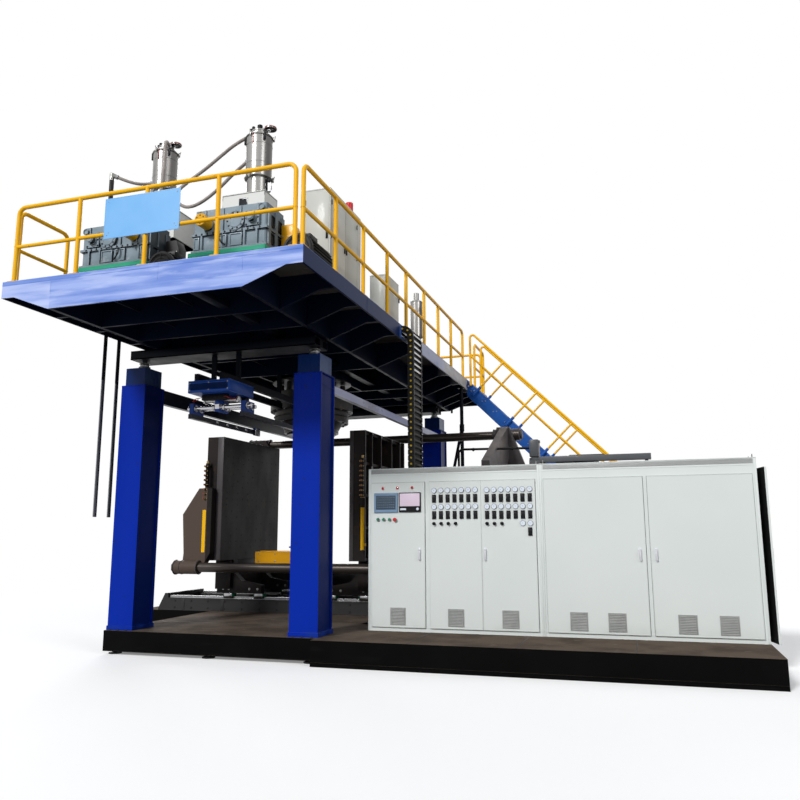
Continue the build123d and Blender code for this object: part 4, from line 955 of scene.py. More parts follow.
def post_screws():
    """Nuts, washers and collars on the lifting screws, and the bolts of the post caps."""
    nuts = []
    for x, y in column_spots:
        nuts += [round_bar((x, y, 3733), (x, y, 3772), 62, 6, 5),
                 round_bar((x, y, 3772), (x, y, 3780), 72, 28, 2),
                 round_bar((x, y, 3688), (x, y, 3700), 96, 28, 3)]
    build("lifting_nuts", nuts, "platform", "bolt_zinc")
    caps = [place(x + side_x * 115, y + side_y * 145, 3687) for x, y in column_spots
            for side_x in (-1, 1) for side_y in (-1, 1)]
    bolts("post_cap_bolts", caps, 12, "platform", "bolt_dark")


def base_trim():
    """Nuts on the levelling screws, plate joints on the deck and edge strips on the skid."""
    nuts = [place(x, y, 18) for x in (-1350, 0, 1350) for y in (-2850, 3130)]
    bolts("levelling_nuts", nuts, 30, "base", "bolt_zinc", washer=False)
    low, high = base_top - 0.5, base_top + 1.5
    joints = [slab(-1455, 1455, y - 4, y + 4, low, high, 0.8) for y in (-1900, -700, 700, 1900, 2550)]
    joints += [slab(x - 4, x + 4, -3100, -1502, low, high, 0.8) for x in (2600, 3800, 5000)]
    build("deck_joints", joints, "base", "weld")
    strips = []
    for z in (44, 284):
        strips += [slab(1460, 6367, -3105, -3101, z - 5, z + 5, 1.5),
                   slab(-1455, 1455, -2966, -2962, z - 5, z + 5, 1.5)]
    build("skid_edge_strips", strips, "base", "base_black")


# Platform
rail_posts = [(x, y) for y in (-4783, 4040) for x in (-1500, -654, 226, 1104, 1992)]
rail_posts += [(2060, y) for y in (-4749, -3918, -3056, -2170, -1343, -428, 394, 1236, 2110, 3130, 3980)]
rail_posts += [(-1553, y) for y in (-4700, -3955)]


def rail_feet():
    """Bolted feet under the handrail posts and the weld beads at foot and middle rail."""
    foot = slab(-50, 50, -50, 50, 0, 8, 3)
    feet = [place(x, y, platform_top) for x, y in rail_posts]
    spread("rail_feet", foot, feet, "platform", "rail_yellow")
    screws = []
    for x, y in rail_posts:
        screws += pitch_circle((x, y, platform_top + 8), 36, 4, UP, 45)
    bolts("rail_foot_bolts", screws, 6, "platform", "bolt_zinc")
    bead = ring((0, 0, 0), UP, 25, 3, 20, 6)
    welds = [place(x, y, z) for x, y in rail_posts for z in (4710, platform_top + 10)]
    spread("rail_welds", bead, welds, "platform", "rail_yellow")


def fascia_trim():
    """Welds and lips of the fascias, and the stiffeners, beam sides and conduits underneath."""
    front, low, high = platform_front, 4100, 4284
    welds = [slab(x - 2.5, x + 2.5, front - 2, front + 0.5, low, high, 0.8) for x in (-934, 446, 1442)]
    welds.append(slab(-1602, 2109, front - 2, front + 0.5, 4244, 4248, 0.8))
    build("fascia_welds", welds, "platform", "frame_blue")
    side = [slab(platform_right - 0.5, platform_right + 1.5, y - 2.5, y + 2.5, low, high, 0.8)
            for y in (-3050, -1250, 600, 2300)]
    side += [slab(x, x + 8, -4830, 4076, 4098, 4106) for x in (2104, -1605)]
    build("fascia_side_trim", side, "platform", "frame_blue")
    ribs = [slab(x, x + 40, y - 6, y + 6, 3925, 4280, 1) for x in (-950, 1395)
            for y in (-4420, -3650, -2950, -2250, -1400, 1300, 2150, 2760, 3260, 3800)]
    build("keel_stiffeners", ribs, "platform", "frame_blue")
    sides = [slab(-1357, 1357, y - 3, y + 3, 3800, 3920) for middle in (-2686, 2959)
             for y in (middle - 192, middle + 192)]
    build("cross_beam_sides", sides, "platform", "beam_black")
    pipes = [round_bar((x, -4780, 4070), (x, 3480, 4070), 16, 12) for x in (-380, 340)]
    pipes.append(slab(700, 820, -4700, 3500, 3990, 4050, 4))
    build("underside_conduits", pipes, "platform", "beam_black")


def landing_post():
    """The post that the lowered platform rests on beside the stair, with its raking leg."""
    x, y = 2052, 2000
    post = [round_bar((x, y, 12), (x, y, 4084), 32, 20, 3),
            slab(x - 80, x + 80, y - 80, y + 80, 0, 14, 3),
            slab(x - 60, platform_right, y - 55, y + 55, 4082, 4096, 3),
            round_bar((x, y, 3352), (1392, y, base_top + 10), 27, 18, 3),
            slab(1330, 1450, y - 55, y + 55, base_top, base_top + 14, 3),
            round_bar((x, y, 3290), (x, y, 3420), 43, 20, 5)]
    build("landing_post", post, "base", "beam_black")


def sign_trim():
    """The hem round the bare sign plate and the clamps that hold it to the rails."""
    face = -4813
    hem = slab(-291, 660, face, face + 2, 4642, 5106, 0.5)
    sink(hem, FRONT, 9, 0.8)
    done(hem, "platform", "sign_blue")
    clips = []
    for x in (-230, 600):
        clips += [ring((x, -4783, 4710), RIGHT, 27, 5, 20, 6),
                  slab(x - 8, x + 8, face + 7, face + 13, 4670, 4750, 1.5)]
    build("sign_clamps", clips, "platform", "bolt_zinc")
    screws = [place(x, face, z, FRONT) for x in (-250, 620) for z in (4682, 5066)]
    bolts("sign_screws", screws, 5, "platform", "bolt_zinc")


# Gearboxes
def gearbox_trim(side, name):
    """Bolts, covers, the drilled yellow cap and the oil pipe of one gearbox."""
    face, shaft_z = -4050, 5018
    cover_x, cap_x, bearing_x = side * 870, side * 507, side * 1090
    flange = [place(side * x, face + 4, 4903, FRONT) for x in range(360, 1260, 75)]
    corners = [place(side * x, face - 4, z, FRONT) for x in (1016, 1164) for z in (4946, 5020, 5094)]
    around = pitch_circle((cover_x, face - 2, shaft_z), 100, 10, FRONT)
    feet = [place(side * x, y, 4710) for x in (340, 560, 790, 1010, 1235) for y in (-4035, -3565)]
    lid = [place(side * x, y, 5217) for x in (440, 650, 870, 1090) for y in (-3910, -3690)]
    bolts(name + "_bolts", flange + corners + around + feet + lid, 10, "platform", "bolt_dark")
    shapes = []
    for x0, x1 in ((330, 405), (620, 760), (800, 960)):
        panel = slab(side * x0, side * x1, face + 2, face + 30, 4718, 4872, 4)
        sink(panel, FRONT, 12, 8)
        shapes.append(panel)
    cover = round_bar((cover_x, face + 2, shaft_z), (cover_x, face - 7, shaft_z), 84, 40, 3)
    sink(cover, FRONT, 16, 3)
    shapes += [cover, ring((cover_x, face - 1, shaft_z), FRONT, 113, 5, 40),
               round_bar((bearing_x, face - 58, 5020), (bearing_x, face - 68, 5020), 40, 28, 4),
               ring((bearing_x, face - 6, 5020), FRONT, 52, 9, 32)]
    shapes += [ring((side * x, face - 1, 5145), FRONT, 34, 7, 24) for x in (410, 1202)]
    shapes += [slab(side * x - 9, side * x + 9, face + 12, face + 60, 4920, 5200, 3)
               for x in (470, 700, 930, 1150)]
    build(name + "_covers", shapes, "platform", "gearbox_grey")
    pockets = []
    end = side * 1275
    for y0, y1 in ((-3940, -3850), (-3760, -3670)):
        for z0, z1 in ((4740, 4860), (4945, 5080)):
            pocket = slab(end - side * 22, end + side * 0.8, y0, y1, z0, z1, 3)
            sink(pocket, (side, 0, 0), 5, 16)
            pockets.append(pocket)
    build(name + "_side_pockets", pockets, "platform", "motor_black")
    cap_z = 5019
    cap = [round_bar((cap_x, face - 100, cap_z), (cap_x, face - 153, cap_z), 74.5, 40, 4),
           round_bar((cap_x, face + 2, cap_z), (cap_x, face - 101, cap_z), 73.2, 36, 1)]
    build(name + "_yellow_cap", cap, "platform", "guard_yellow")
    drilled = round_bar((0, 0, 0), (0, 0, 1), 9, 14, 0.3)
    holes = pitch_circle((cap_x, face - 153.4, cap_z), 48, 6, FRONT, 30)
    spread(name + "_cap_holes", drilled, holes, "platform", "black_plastic")
    route = [(side * x, y, z) for x, y, z in ((700, -4052, 4880), (690, -4078, 4860),
                                              (686, -4082, 4810), (720, -4078, 4760),
                                              (760, -4062, 4735))]
    build(name + "_oil_pipe", pipe(route, 9, 12, 2), "platform", "motor_black")


# Drive motors and belt guards
def drive_motor(name, x):
    """A finned motor with its fan cowl, terminal box and feet."""
    z, foot_z = 4560, platform_top
    fin = slab(-2.5, 2.5, -250, 250, 160, 189, 0.8)
    turns = [turned(x, -3800, z, 360 * step / 28) for step in range(28)]
    cowl = round_bar((x, -4120, z), (x, -4060, z), 176, 36, 10)
    sink(cowl, FRONT, 22, 12)
    box = slab(x - 85, x + 85, -3960, -3760, z + 160, z + 228, 8)
    sink(box, UP, 10, -4)
    shapes = [round_bar((x, -4080, z), (x, -3520, z), 168, 32, 3), copies("fins", fin, turns), cowl, box,
              slab(x - 4, x + 4, -4119, -4112, z - 150, z + 150, 1),
              slab(x - 150, x + 150, -4119, -4112, z - 4, z + 4, 1)]
    shapes += [ring((x, -4116, z), FRONT, radius, 4, 32, 6) for radius in (130, 95, 60, 28)]
    for y in (-3990, -3640):
        shapes += [slab(x - 150, x + 150, y, y + 60, foot_z + 1, foot_z + 22, 4),
                   slab(x - 120, x + 120, y + 10, y + 50, foot_z + 10, foot_z + 140, 4)]
    build(name, shapes, "platform", "motor_black")
    feet = [place(x + dx, y, foot_z + 22) for dx in (-135, 135) for y in (-3960, -3610)]
    bolts(name + "_bolts", feet, 11, "platform", "bolt_zinc")


def belt_guard(name, x, coat):
    """The folded sheet guard over one belt drive."""
    low, fold = platform_top + 1, 4930
    deselect()
    bpy.ops.mesh.primitive_cube_add(size=1, location=at(x + 95, -3640, (low + fold) / 2))
    guard = bpy.context.active_object
    guard.scale = (190 * MM, 160 * MM, (fold - low) * MM)
    settle(guard)
    select_faces(guard, facing(UP))
    bpy.ops.mesh.extrude_region_move(TRANSFORM_OT_translate={"value": (0, 0, 105 * MM)})
    bpy.ops.transform.resize(value=(0.8, 1, 1), center_override=at(x, -3640, fold + 105))
    leave_edit()
    soften(guard, 7, 3)
    panel = slab(x + 18, x + 172, -3723, -3719, 4330, 4900)
    sink(panel, FRONT, 14, 1.5)
    shapes = [guard, panel, slab(x + 188, x + 192, -3700, -3580, 4330, 4900),
              slab(x - 2, x + 192, -3722, -3558, 4600, 4606, 1.5)]
    piece = build(name, shapes, "platform", coat)
    screws = [place(x + dx, -3723, z, FRONT) for dx in (28, 162) for z in (4345, 4615, 4885)]
    bolts(name + "_screws", screws, 7, "platform", "bolt_zinc")
    return piece


def drives():
    drive_motor("drive_motor_right", 1690)
    drive_motor("drive_motor_left", -60)
    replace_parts(belt_guard("belt_guard_right", 1290, "guard_yellow"), "drive_motors")
    belt_guard("belt_guard_left", -285, "motor_black")


# Vacuum loaders
def loader_trim(name, x, y, body_z, lid_z, top_z):
    """Clamp rings with toggles, weld seams, the filter head, the valve disc and the red line."""
    bright = []
    for z in (body_z + 7, lid_z - 7):
        bright.append(ring((x, y, z), UP, 169, 7, 40))
        for turn in (20, 140, 260):
            over, along = math.cos(math.radians(turn)), math.sin(math.radians(turn))
            cx, cy = x + 180 * over, y + 180 * along
            bright += [slab(cx - 9, cx + 9, cy - 9, cy + 9, z - 34, z + 30, 3),
                       round_bar((cx, cy, z - 30), (cx + 16 * over, cy + 16 * along, z + 44), 5, 10)]
    bright += [ring((x, y, z), UP, 161.5, 3, 40, 6) for z in (body_z + 190, lid_z - 120)]
    bright += [round_bar((x, y, lid_z), (x, y, lid_z + 34), 150, 40, 12),
               round_bar((x, y, lid_z + 30), (x, y, lid_z + 92), 104, 32, 6),
               ring((x, y, lid_z + 70), UP, 104, 4, 32, 6),
               slab(x - 2, x + 2, y - 162.5, y - 160, body_z + 14, lid_z - 14, 0.6)]
    build(name + "_clamps", bright, "platform", "stainless")
    valve_z = lid_z + 0.6 * (top_z - lid_z)
    dark = [round_bar((x + 150, y, valve_z - 15), (x + 150, y, valve_z + 15), 70, 36, 5),
            round_bar((x, y, top_z - 55), (x, y, top_z), 33, 20, 5),
            slab(x - 118, x - 52, y - 40, y + 20, lid_z + 86, lid_z + 138, 6),
            round_bar((x - 85, y - 10, lid_z + 134), (x - 85, y - 10, lid_z + 172), 20, 18, 4),
            slab(x + 150, x + 190, y - 60, y - 20, body_z - 80, body_z - 15, 6),
            slab(x + 128, x + 186, y - 50, y + 10, body_z - 150, body_z - 95, 8)]
    for turn in (200, 320):
        cx, cy = x + 176 * math.cos(math.radians(turn)), y + 176 * math.sin(math.radians(turn))
        dark.append(slab(cx - 12, cx + 12, cy - 12, cy + 12, lid_z - 90, lid_z + 14, 4))
    build(name + "_valve", dark, "platform", "black_plastic")
    red = [ring((x + 150, y, valve_z), UP, 74, 5, 36),
           round_bar((x + 10, y - 40, lid_z + 90), (x + 6, y - 168, lid_z - 10), 4, 8),
           round_bar((x + 6, y - 167, lid_z - 10), (x + 2, y - 168, lid_z - 150), 4, 8)]
    build(name + "_red_line", red, "platform", "valve_red")
    chrome = [round_bar((x + 168, y - 30, body_z - 190), (x + 168, y - 30, body_z - 60), 26, 20, 5),
              round_bar((x + 40, y, valve_z - 6), (x + 150, y, valve_z - 6), 22, 18, 4),
              ring((x + 60, y, valve_z), RIGHT, 24, 6, 20)]
    build(name + "_fittings", chrome, "platform", "chrome")


def hopper_trim(name, x0, x1, y0, y1):
    """The hopper's folded lid, its corner folds and a sight window."""
    low, high = 5226, 5596
    shapes = [slab(x0 - 4, x1 + 4, y0 - 4, y1 + 4, z, z + 16, 3) for z in (high, low - 16)]
    shapes += [slab(x - 3, x + 3, y - 3, y + 3, low, high, 1.5) for x in (x0, x1) for y in (y0, y1)]
    build(name + "_folds", shapes, "platform", "platform_cabinet")
    middle = (x0 + x1) / 2
    glass = slab(middle - 60, middle + 60, y0 - 5, y0 - 1, 5290, 5540, 3)
    sink(glass, FRONT, 12, 2)
    build(name + "_window", [glass], "platform", "display")


def loaders_trim():
    """Both loaders and hoppers, the clips of the hoses and the small loader's rings."""
    loader_trim("loader_right", 790, -3400, 5821, 6382, 6564)
    loader_trim("loader_left", -790, -3120, 6010, 6571, 6757)
    hopper_trim("hopper_right", 381, 960, -3540, -3220)
    hopper_trim("hopper_left", -960, -381, -3430, -2940)
    cuffs = []
    for route in hose_routes.values():
        for end_point, inner in ((route[0], route[1]), (route[-1], route[-2])):
            way = (Vector(inner) - Vector(end_point)).normalized()
            centre = Vector(end_point) - way * 12
            cuffs += [ring(tuple(centre), tuple(way), 31, 4, 22, 6),
                      ring(tuple(centre - way * 16), tuple(way), 31, 3, 22, 6)]
    build("hose_clips", cuffs, "platform", "chrome")
    x, y = 1716, 300
    small = [ring((x, y, z), UP, 101, 5) for z in (4650, 5240)]
    small += [round_bar((x, y, 5236), (x, y, 5262), 92, 28, 8),
              slab(x - 70, x + 70, y - 70, y + 70, platform_top + 1, platform_top + 16, 3)]
    build("small_loader_rings", small, "platform", "stainless")


# Cabinets on the platform
def platform_cabinet_trim():
    """Doors, hinges, locks and roof plates of the two cabinets, and the beacon's lens."""
    doors = [slab(*span, 3) for span in (
        (1478, 1792, -3495, -3490, 4420, 5500), (1809.5, 1815, -3474, -3040, 4360, 5500),
        (1809.5, 1815, -3024, -2641, 4360, 5500), (1552, 1785, -1422, -1417, 4360, 5120),
        (1799.5, 1805, -1404, -906, 4360, 5120))]
    roofs = [slab(*span, 4) for span in (
        (1462, 1808, -3494, -2498, 5524, 5540), (1534, 1803, -1420, -890, 5140, 5156),
        (1456, 1814, -3494, -2496, 4292, 4330))]
    build("platform_cabinet_doors", doors + roofs, "platform", "platform_cabinet")
    hinges = [(1817, y, z) for y in (-3466, -2652) for z in (4520, 4940, 5360)]
    hinges += [(1486, -3497, z) for z in (4560, 4980, 5380)]
    fittings = [round_bar((x, y, z - 30), (x, y, z + 30), 7, 12) for x, y, z in hinges]
    fittings += [slab(1815, 1827, y - 12, y + 12, 4860, 4960, 3) for y in (-3060, -3004, -930)]
    fittings += [slab(1758, 1782, -3507, -3495, 4900, 5010, 3), ring((1700, -2630, 5602), UP, 44, 6, 24)]
    build("platform_cabinet_fittings", fittings, "platform", "black_plastic")
    low, high = 5606, 5716
    lens = round_bar((1700, -2630, low), (1700, -2630, high), 49.5, 28, 14)
    cut_rows(lens, 2, low, high, 8)
    build("beacon_lens", [lens], "platform", "button_red")


# Cable chain
chain_near = -1707
chain_pitch, chain_bend, chain_low_bend = 80, 118, 150
chain_x, chain_start_x, chain_z = 2236, 2000, 4238.5
chain_low_z, chain_end_z = 640, 1100
chain_top_run = chain_x - chain_bend - chain_start_x
chain_arc, chain_loop = chain_bend * math.pi / 2, chain_low_bend * math.pi
chain_drop = chain_z - chain_bend - chain_low_z
chain_shade_z = 3620


def chain_point(run, offset):
    """A point beside the chain's route, and the route's heading there in degrees."""
    past_bend = chain_top_run + chain_arc
    past_drop = past_bend + chain_drop
    if run <= chain_top_run:
        x, z, heading = chain_start_x + run, chain_z, 0
    elif run <= past_bend:
        heading = math.degrees((run - chain_top_run) / chain_bend)
        x = chain_x - chain_bend + chain_bend * math.sin(math.radians(heading))
        z = chain_z - chain_bend + chain_bend * math.cos(math.radians(heading))
    elif run <= past_drop:
        x, z, heading = chain_x, chain_z - chain_bend - (run - past_bend), 90
    elif run <= past_drop + chain_loop:
        swing = math.degrees((run - past_drop) / chain_low_bend)
        heading = 90 - swing
        x = chain_x + chain_low_bend - chain_low_bend * math.cos(math.radians(swing))
        z = chain_low_z - chain_low_bend * math.sin(math.radians(swing))
    else:
        x, z, heading = chain_x + 2 * chain_low_bend, chain_low_z + run - past_drop - chain_loop, -90
    return (x + offset * math.sin(math.radians(heading)), z + offset * math.cos(math.radians(heading)),
            heading)


def chain_trim():
    """Hinge pins on both rows of link plates, the plates' rims, the crossbars and the cables."""
    length = chain_top_run + chain_arc + chain_drop + chain_loop + chain_end_z - chain_low_z
    count = int(length / chain_pitch)
    pins, bars, shaded_bars, plates = [], [], [], []
    for link in range(count):
        run = (link + 0.5) * chain_pitch
        x, z, heading = chain_point(run, 0)
        pins += [place(x, chain_near - 0.5, z, FRONT), place(x, chain_near + 400.5, z, BACK)]
        plates.append(turned(x, chain_near - 1.5, z, heading))
        for offset in (-38, 38):
            x, z, heading = chain_point(run, offset)
            row = bars if z > chain_shade_z else shaded_bars
            row.append(turned(x, chain_near + 200, z, heading))
    pin = round_bar((0, 0, 0), (0, 0, 4), 13, 14, 1.5)
    spread("chain_pins", pin, pins, "platform", "pin_yellow")
    rim = slab(-33, 33, -2, 2, -34, 34, 6)
    sink(rim, FRONT, 6, 1.2)
    spread("chain_link_rims", rim, plates, "platform", "chain_black")
    points = [chain_point(run, 0) for run in range(40, count * chain_pitch - 40, 60)]
    bends = [here for before, here, after in zip(points, points[1:], points[2:])
             if abs(before[2] - here[2]) > 0.5 or abs(here[2] - after[2]) > 0.5]
    route = [(x, 0, z) for x, z, heading in [points[0]] + bends + [points[-1]]]
    rows = [turned(0, chain_near + 42 + 45 * row, 0) for row in range(8)]
    spread("chain_cables", join("cable", pipe(route, 19, 10, 3)), rows, "platform", "chain_black")
    for name, places, coat, slot in (
            ("chain_crossbars", bars, "bar_silver", "steel"),
            ("chain_lower_crossbars", shaded_bars, "chain_black", "chain_black")):
        spread(name, slab(-13, 13, -168, 168, -4, 4), places, "platform", coat)


# Stair
slope_top = (2125, 4275)
slope_length = 5961
tread_rise = slope_top[1] / 21
stair_middle_y = 2620.5
stair_rail_stations = [297 + 835 * post for post in range(7)]
stair_rail_rise, stair_middle_rise = 690, 365
roller_x, roller_z = 6184, 52


def on_slope(run, rise, y):
    """A point a run down the stair's slope and a rise square to it."""
    half = math.sqrt(0.5)
    return (slope_top[0] + (run + rise) * half, y, slope_top[1] + (rise - run) * half)


def slope_height(rise, x):
    """How high the line at a rise over the slope stands at x."""
    start = on_slope(0, rise, 0)
    return start[2] + start[0] - x


def stair_stringers():
    """Channel stringers cut off upright at the platform and level at the toe, and the roller shoe."""
    lie = turned(slope_top[0], 0, slope_top[1], 45)
    shapes = []
    for y, way in ((2164, FRONT), (3063, BACK)):
        beam = slab(-300, slope_length + 300, y, y + 14, -220, 0, 3)
        sink(beam, way, 18, 5)
        beam.data.transform(lie)
        pick(beam)
        bpy.ops.object.mode_set(mode="EDIT")
        for centre, normal in (((slope_top[0] * MM, 0, 0), (-1, 0, 0)), ((0, 0, 0.06), (0, 0, -1))):
            bpy.ops.mesh.select_all(action="SELECT")
            bpy.ops.mesh.bisect(plane_co=centre, plane_no=normal, use_fill=True, clear_outer=True)
        leave_edit()
        outer = y if way == FRONT else y + 14
        shapes += [beam, ring((2150, outer, 4150), FRONT, 34, 6, 24),
                   slab(6120, 6250, y - 4, y + 18, 40, 130, 5)]
    shapes.append(round_bar((roller_x, 2178, roller_z), (roller_x, 3063, roller_z), 50, 36, 3))
    shapes += [ring((roller_x, y, roller_z), FRONT, 47, 5, 30) for y in (2240, 2620, 3000)]
    return join("stair_stringers", shapes)


def stair_treads():
    """Pressed treads with a rim, three grip ribs and a lip in front."""
    tread = slab(-95, 95, -442, 442, -30, 0)
    sink(tread, UP, 10, 3)
    sink(tread, DOWN, 8, 18)
    ribs = [slab(x - 4, x + 4, -425, 425, -4, -0.5, 0.8) for x in (-50, 0, 50)]
    spots = [place(slope_top[0] + step * tread_rise - 107, stair_middle_y,
                   slope_top[1] - step * tread_rise + 2) for step in range(1, 21)]
    return copies("stair_treads", join("tread", [tread] + ribs), spots)


def stair_rails():
    """A handrail at each side: posts square to the slope, an upright end, and a middle rail."""
    tubes, sockets = [], []
    bend, end_x, foot_rise = 50, 2200, -90
    bend_z = slope_height(stair_rail_rise, end_x) - bend * math.tan(math.radians(67.5))
    last = stair_rail_stations[-1]
    for y in (2140, 3101):
        route = [(end_x, y, 4150), (end_x, y, bend_z)]
        for turn in range(160, 44, -23):
            way = math.radians(turn)
            route.append((end_x + bend + bend * math.cos(way), y, bend_z + bend * math.sin(way)))
        route += [on_slope(last - 50, stair_rail_rise, y), on_slope(last - 14, stair_rail_rise - 14, y),
                  on_slope(last, stair_rail_rise - 50, y), on_slope(last, foot_rise, y)]
        tubes += pipe(route, 21, 18, 2)
        tubes.append(round_bar((end_x, y, slope_height(stair_middle_rise, end_x)),
                               on_slope(last, stair_middle_rise, y), 18, 16))
        tubes += [round_bar(on_slope(run, foot_rise, y), on_slope(run, stair_rail_rise, y), 19, 16)
                  for run in stair_rail_stations[:-1]]
        sockets += [round_bar(on_slope(run, -140, y), on_slope(run, 70, y), 27, 18, 3)
                    for run in stair_rail_stations]
    build("stair_rails", tubes, "stair_flight", "rail_yellow")
    build("stair_rail_sockets", sockets, "stair_flight", "stair_blue")


def stair_trim():
    """The stair flight with its rails, tread nosings and bolted tread ends."""
    flight = join("stair_flight_frame", [stair_stringers(), stair_treads()])
    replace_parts(flight, "stair")
    done(flight, "stair_flight", "stair_blue")
    stair_rails()
    noses, screws = [], []
    for tread in range(1, 21):
        edge_x = slope_top[0] + tread * tread_rise - 12
        z = slope_top[1] - (edge_x - slope_top[0]) - 10
        noses.append(place(edge_x - 8, stair_middle_y, z + 1))
        screws += [place(edge_x - back, y, z - 16, way) for y, way in ((2163, FRONT), (3078, BACK))
                   for back in (120, 60)]
    spread("tread_nosings", slab(-14, 8, -440, 440, -4, 3, 1.5), noses, "stair_flight", "strip_grey")
    bolts("tread_bolts", screws, 8, "stair_flight", "bolt_zinc")


# Take-out unit
def takeout_trim():
    """The carriage's folded cover, cylinder, valves and air pipes, and the arms' fittings."""
    guide_z, guide_ys = 3090, (-2820, -2700)
    cover = slab(-300, 300, -3094, -2476, 3250, 3392, 14, 3)
    sink(cover, FRONT, 16, 4)
    build("carriage_cover", [cover], "takeout", "takeout_blue")
    places = [place(x, -3095, z, FRONT) for x in (-270, 0, 270) for z in (3275, 3367)]
    bolts("carriage_bolts", places, 8, "takeout", "bolt_zinc")
    bright = [round_bar((x * 0.16, y, guide_z), (x * 0.26, y, guide_z), 40, 24, 4)
              for y in guide_ys for x in (-330, 330)]
    bright.append(round_bar((-250, -2760, 3190), (250, -2760, 3190), 30, 28, 4))
    bright += [slab(x - 14, x + 14, -2800, -2720, 3152, 3242, 4) for x in (-240, 240)]
    build("carriage_cylinder", bright, "takeout", "steel")
    dark = [slab(-180, 180, -2960, -2880, 3165, 3240, 6), slab(-250, 250, -2600, -2500, 3190, 3242, 6)]
    dark += [round_bar((x, -2966, 3200), (x, -2958, 3200), 14, 16, 2) for x in range(-150, 151, 60)]
    build("carriage_valves", dark, "takeout", "black_plastic")
    left_route = [(-170, -2965, 3200), (-230, -3010, 3180), (-280, -3000, 3150), (-300, -2940, 3155),
                  (-290, -2860, 3200)]
    right_route = [(150, -2965, 3200), (210, -3015, 3190), (270, -3005, 3160), (295, -2930, 3170),
                   (280, -2850, 3210)]
    lines = pipe(left_route, 5, 10, 1.5) + pipe(right_route, 5, 10, 1.5)
    build("carriage_air_pipes", lines, "takeout", "wire_red")
    for side, name, body in ((-1, "left", "left_arm"), (1, "right", "right_arm")):
        shapes = [round_bar((side * x0, y, guide_z), (side * x1, y, guide_z), 46, 24, 3)
                  for y in guide_ys for x0, x1 in ((344, 336), (406, 414))]
        shapes += [slab(side * 345, side * 338, y - 30, y + 30, 2962, 2998)
                   for y in range(-2300, -1200, 260)]
        pad = slab(side * 315, side * 306, -1300, -1160, 2932, 3028, 4)
        sink(pad, (-side, 0, 0), 10, 3, each=True)
        build(name + "_arm_fittings", shapes + [pad], body, "steel")
    rails = [place(side * 180, y, 3488.5) for side in (-1, 1) for y in range(-3000, -800, 240)]
    bolts("takeout_rail_bolts", rails, 9, "platform", "bolt_dark")


# Die head
def head_trim():
    """Heater bands with terminals, ring bolts and adjusting cylinders of the die head."""
    bands = []
    for z in (3130, 3800, 4040, 4160, 4420, 4640, 5060):
        radius = 440 if z < 3200 else 384
        bands += [round_bar((0, 0, z - 45), (0, 0, z + 45), radius, 48, 3),
                  slab(-24, 24, -radius - 26, -radius + 6, z - 36, z + 36, 3),
                  slab(-24, 24, radius - 6, radius + 26, z - 36, z + 36, 3)]
    build("heater_bands", bands, "platform", "head_bands")
    places = []
    for radius, z, way in ((630, 3434, DOWN), (636, 3713, UP), (560, 3920, UP)):
        places += pitch_circle((0, 0, z), radius, 20, way)
    bolts("head_bolts", places, 17, "platform", "bolt_zinc")
    dark = []
    for step in range(8):
        turn = math.radians(45 * step + 22)
        x, y = 500 * math.cos(turn), 500 * math.sin(turn)
        dark += [round_bar((x, y, 3714), (x, y, 3890), 42, 22, 5),
                 round_bar((x, y, 3740), (x, y, 3770), 50, 22, 3)]
    dark += [ring((0, 0, z), UP, radius, 9, 56) for z, radius in ((3345, 606), (3600, 674))]
    build("head_cylinders", dark, "platform", "head_steel")


def barrel_trim():
    """Clamp straps, terminal boxes and blowers at the heater covers of both barrels."""
    straps, boxes = [], []
    for x in (-790, 790):
        for y in range(-2950, -1189, 440):
            straps += [ring((x, y + offset, 4965), FRONT, 187, 4, 36, 6) for offset in (20, 280)]
            boxes += [slab(x - 60, x + 60, y + 100, y + 200, 5148, 5196, 6),
                      round_bar((x, y + 150, 4700), (x, y + 150, 4800), 90, 24, 8)]
    build("barrel_straps", straps, "platform", "steel")
    build("barrel_boxes", boxes, "platform", "motor_black")


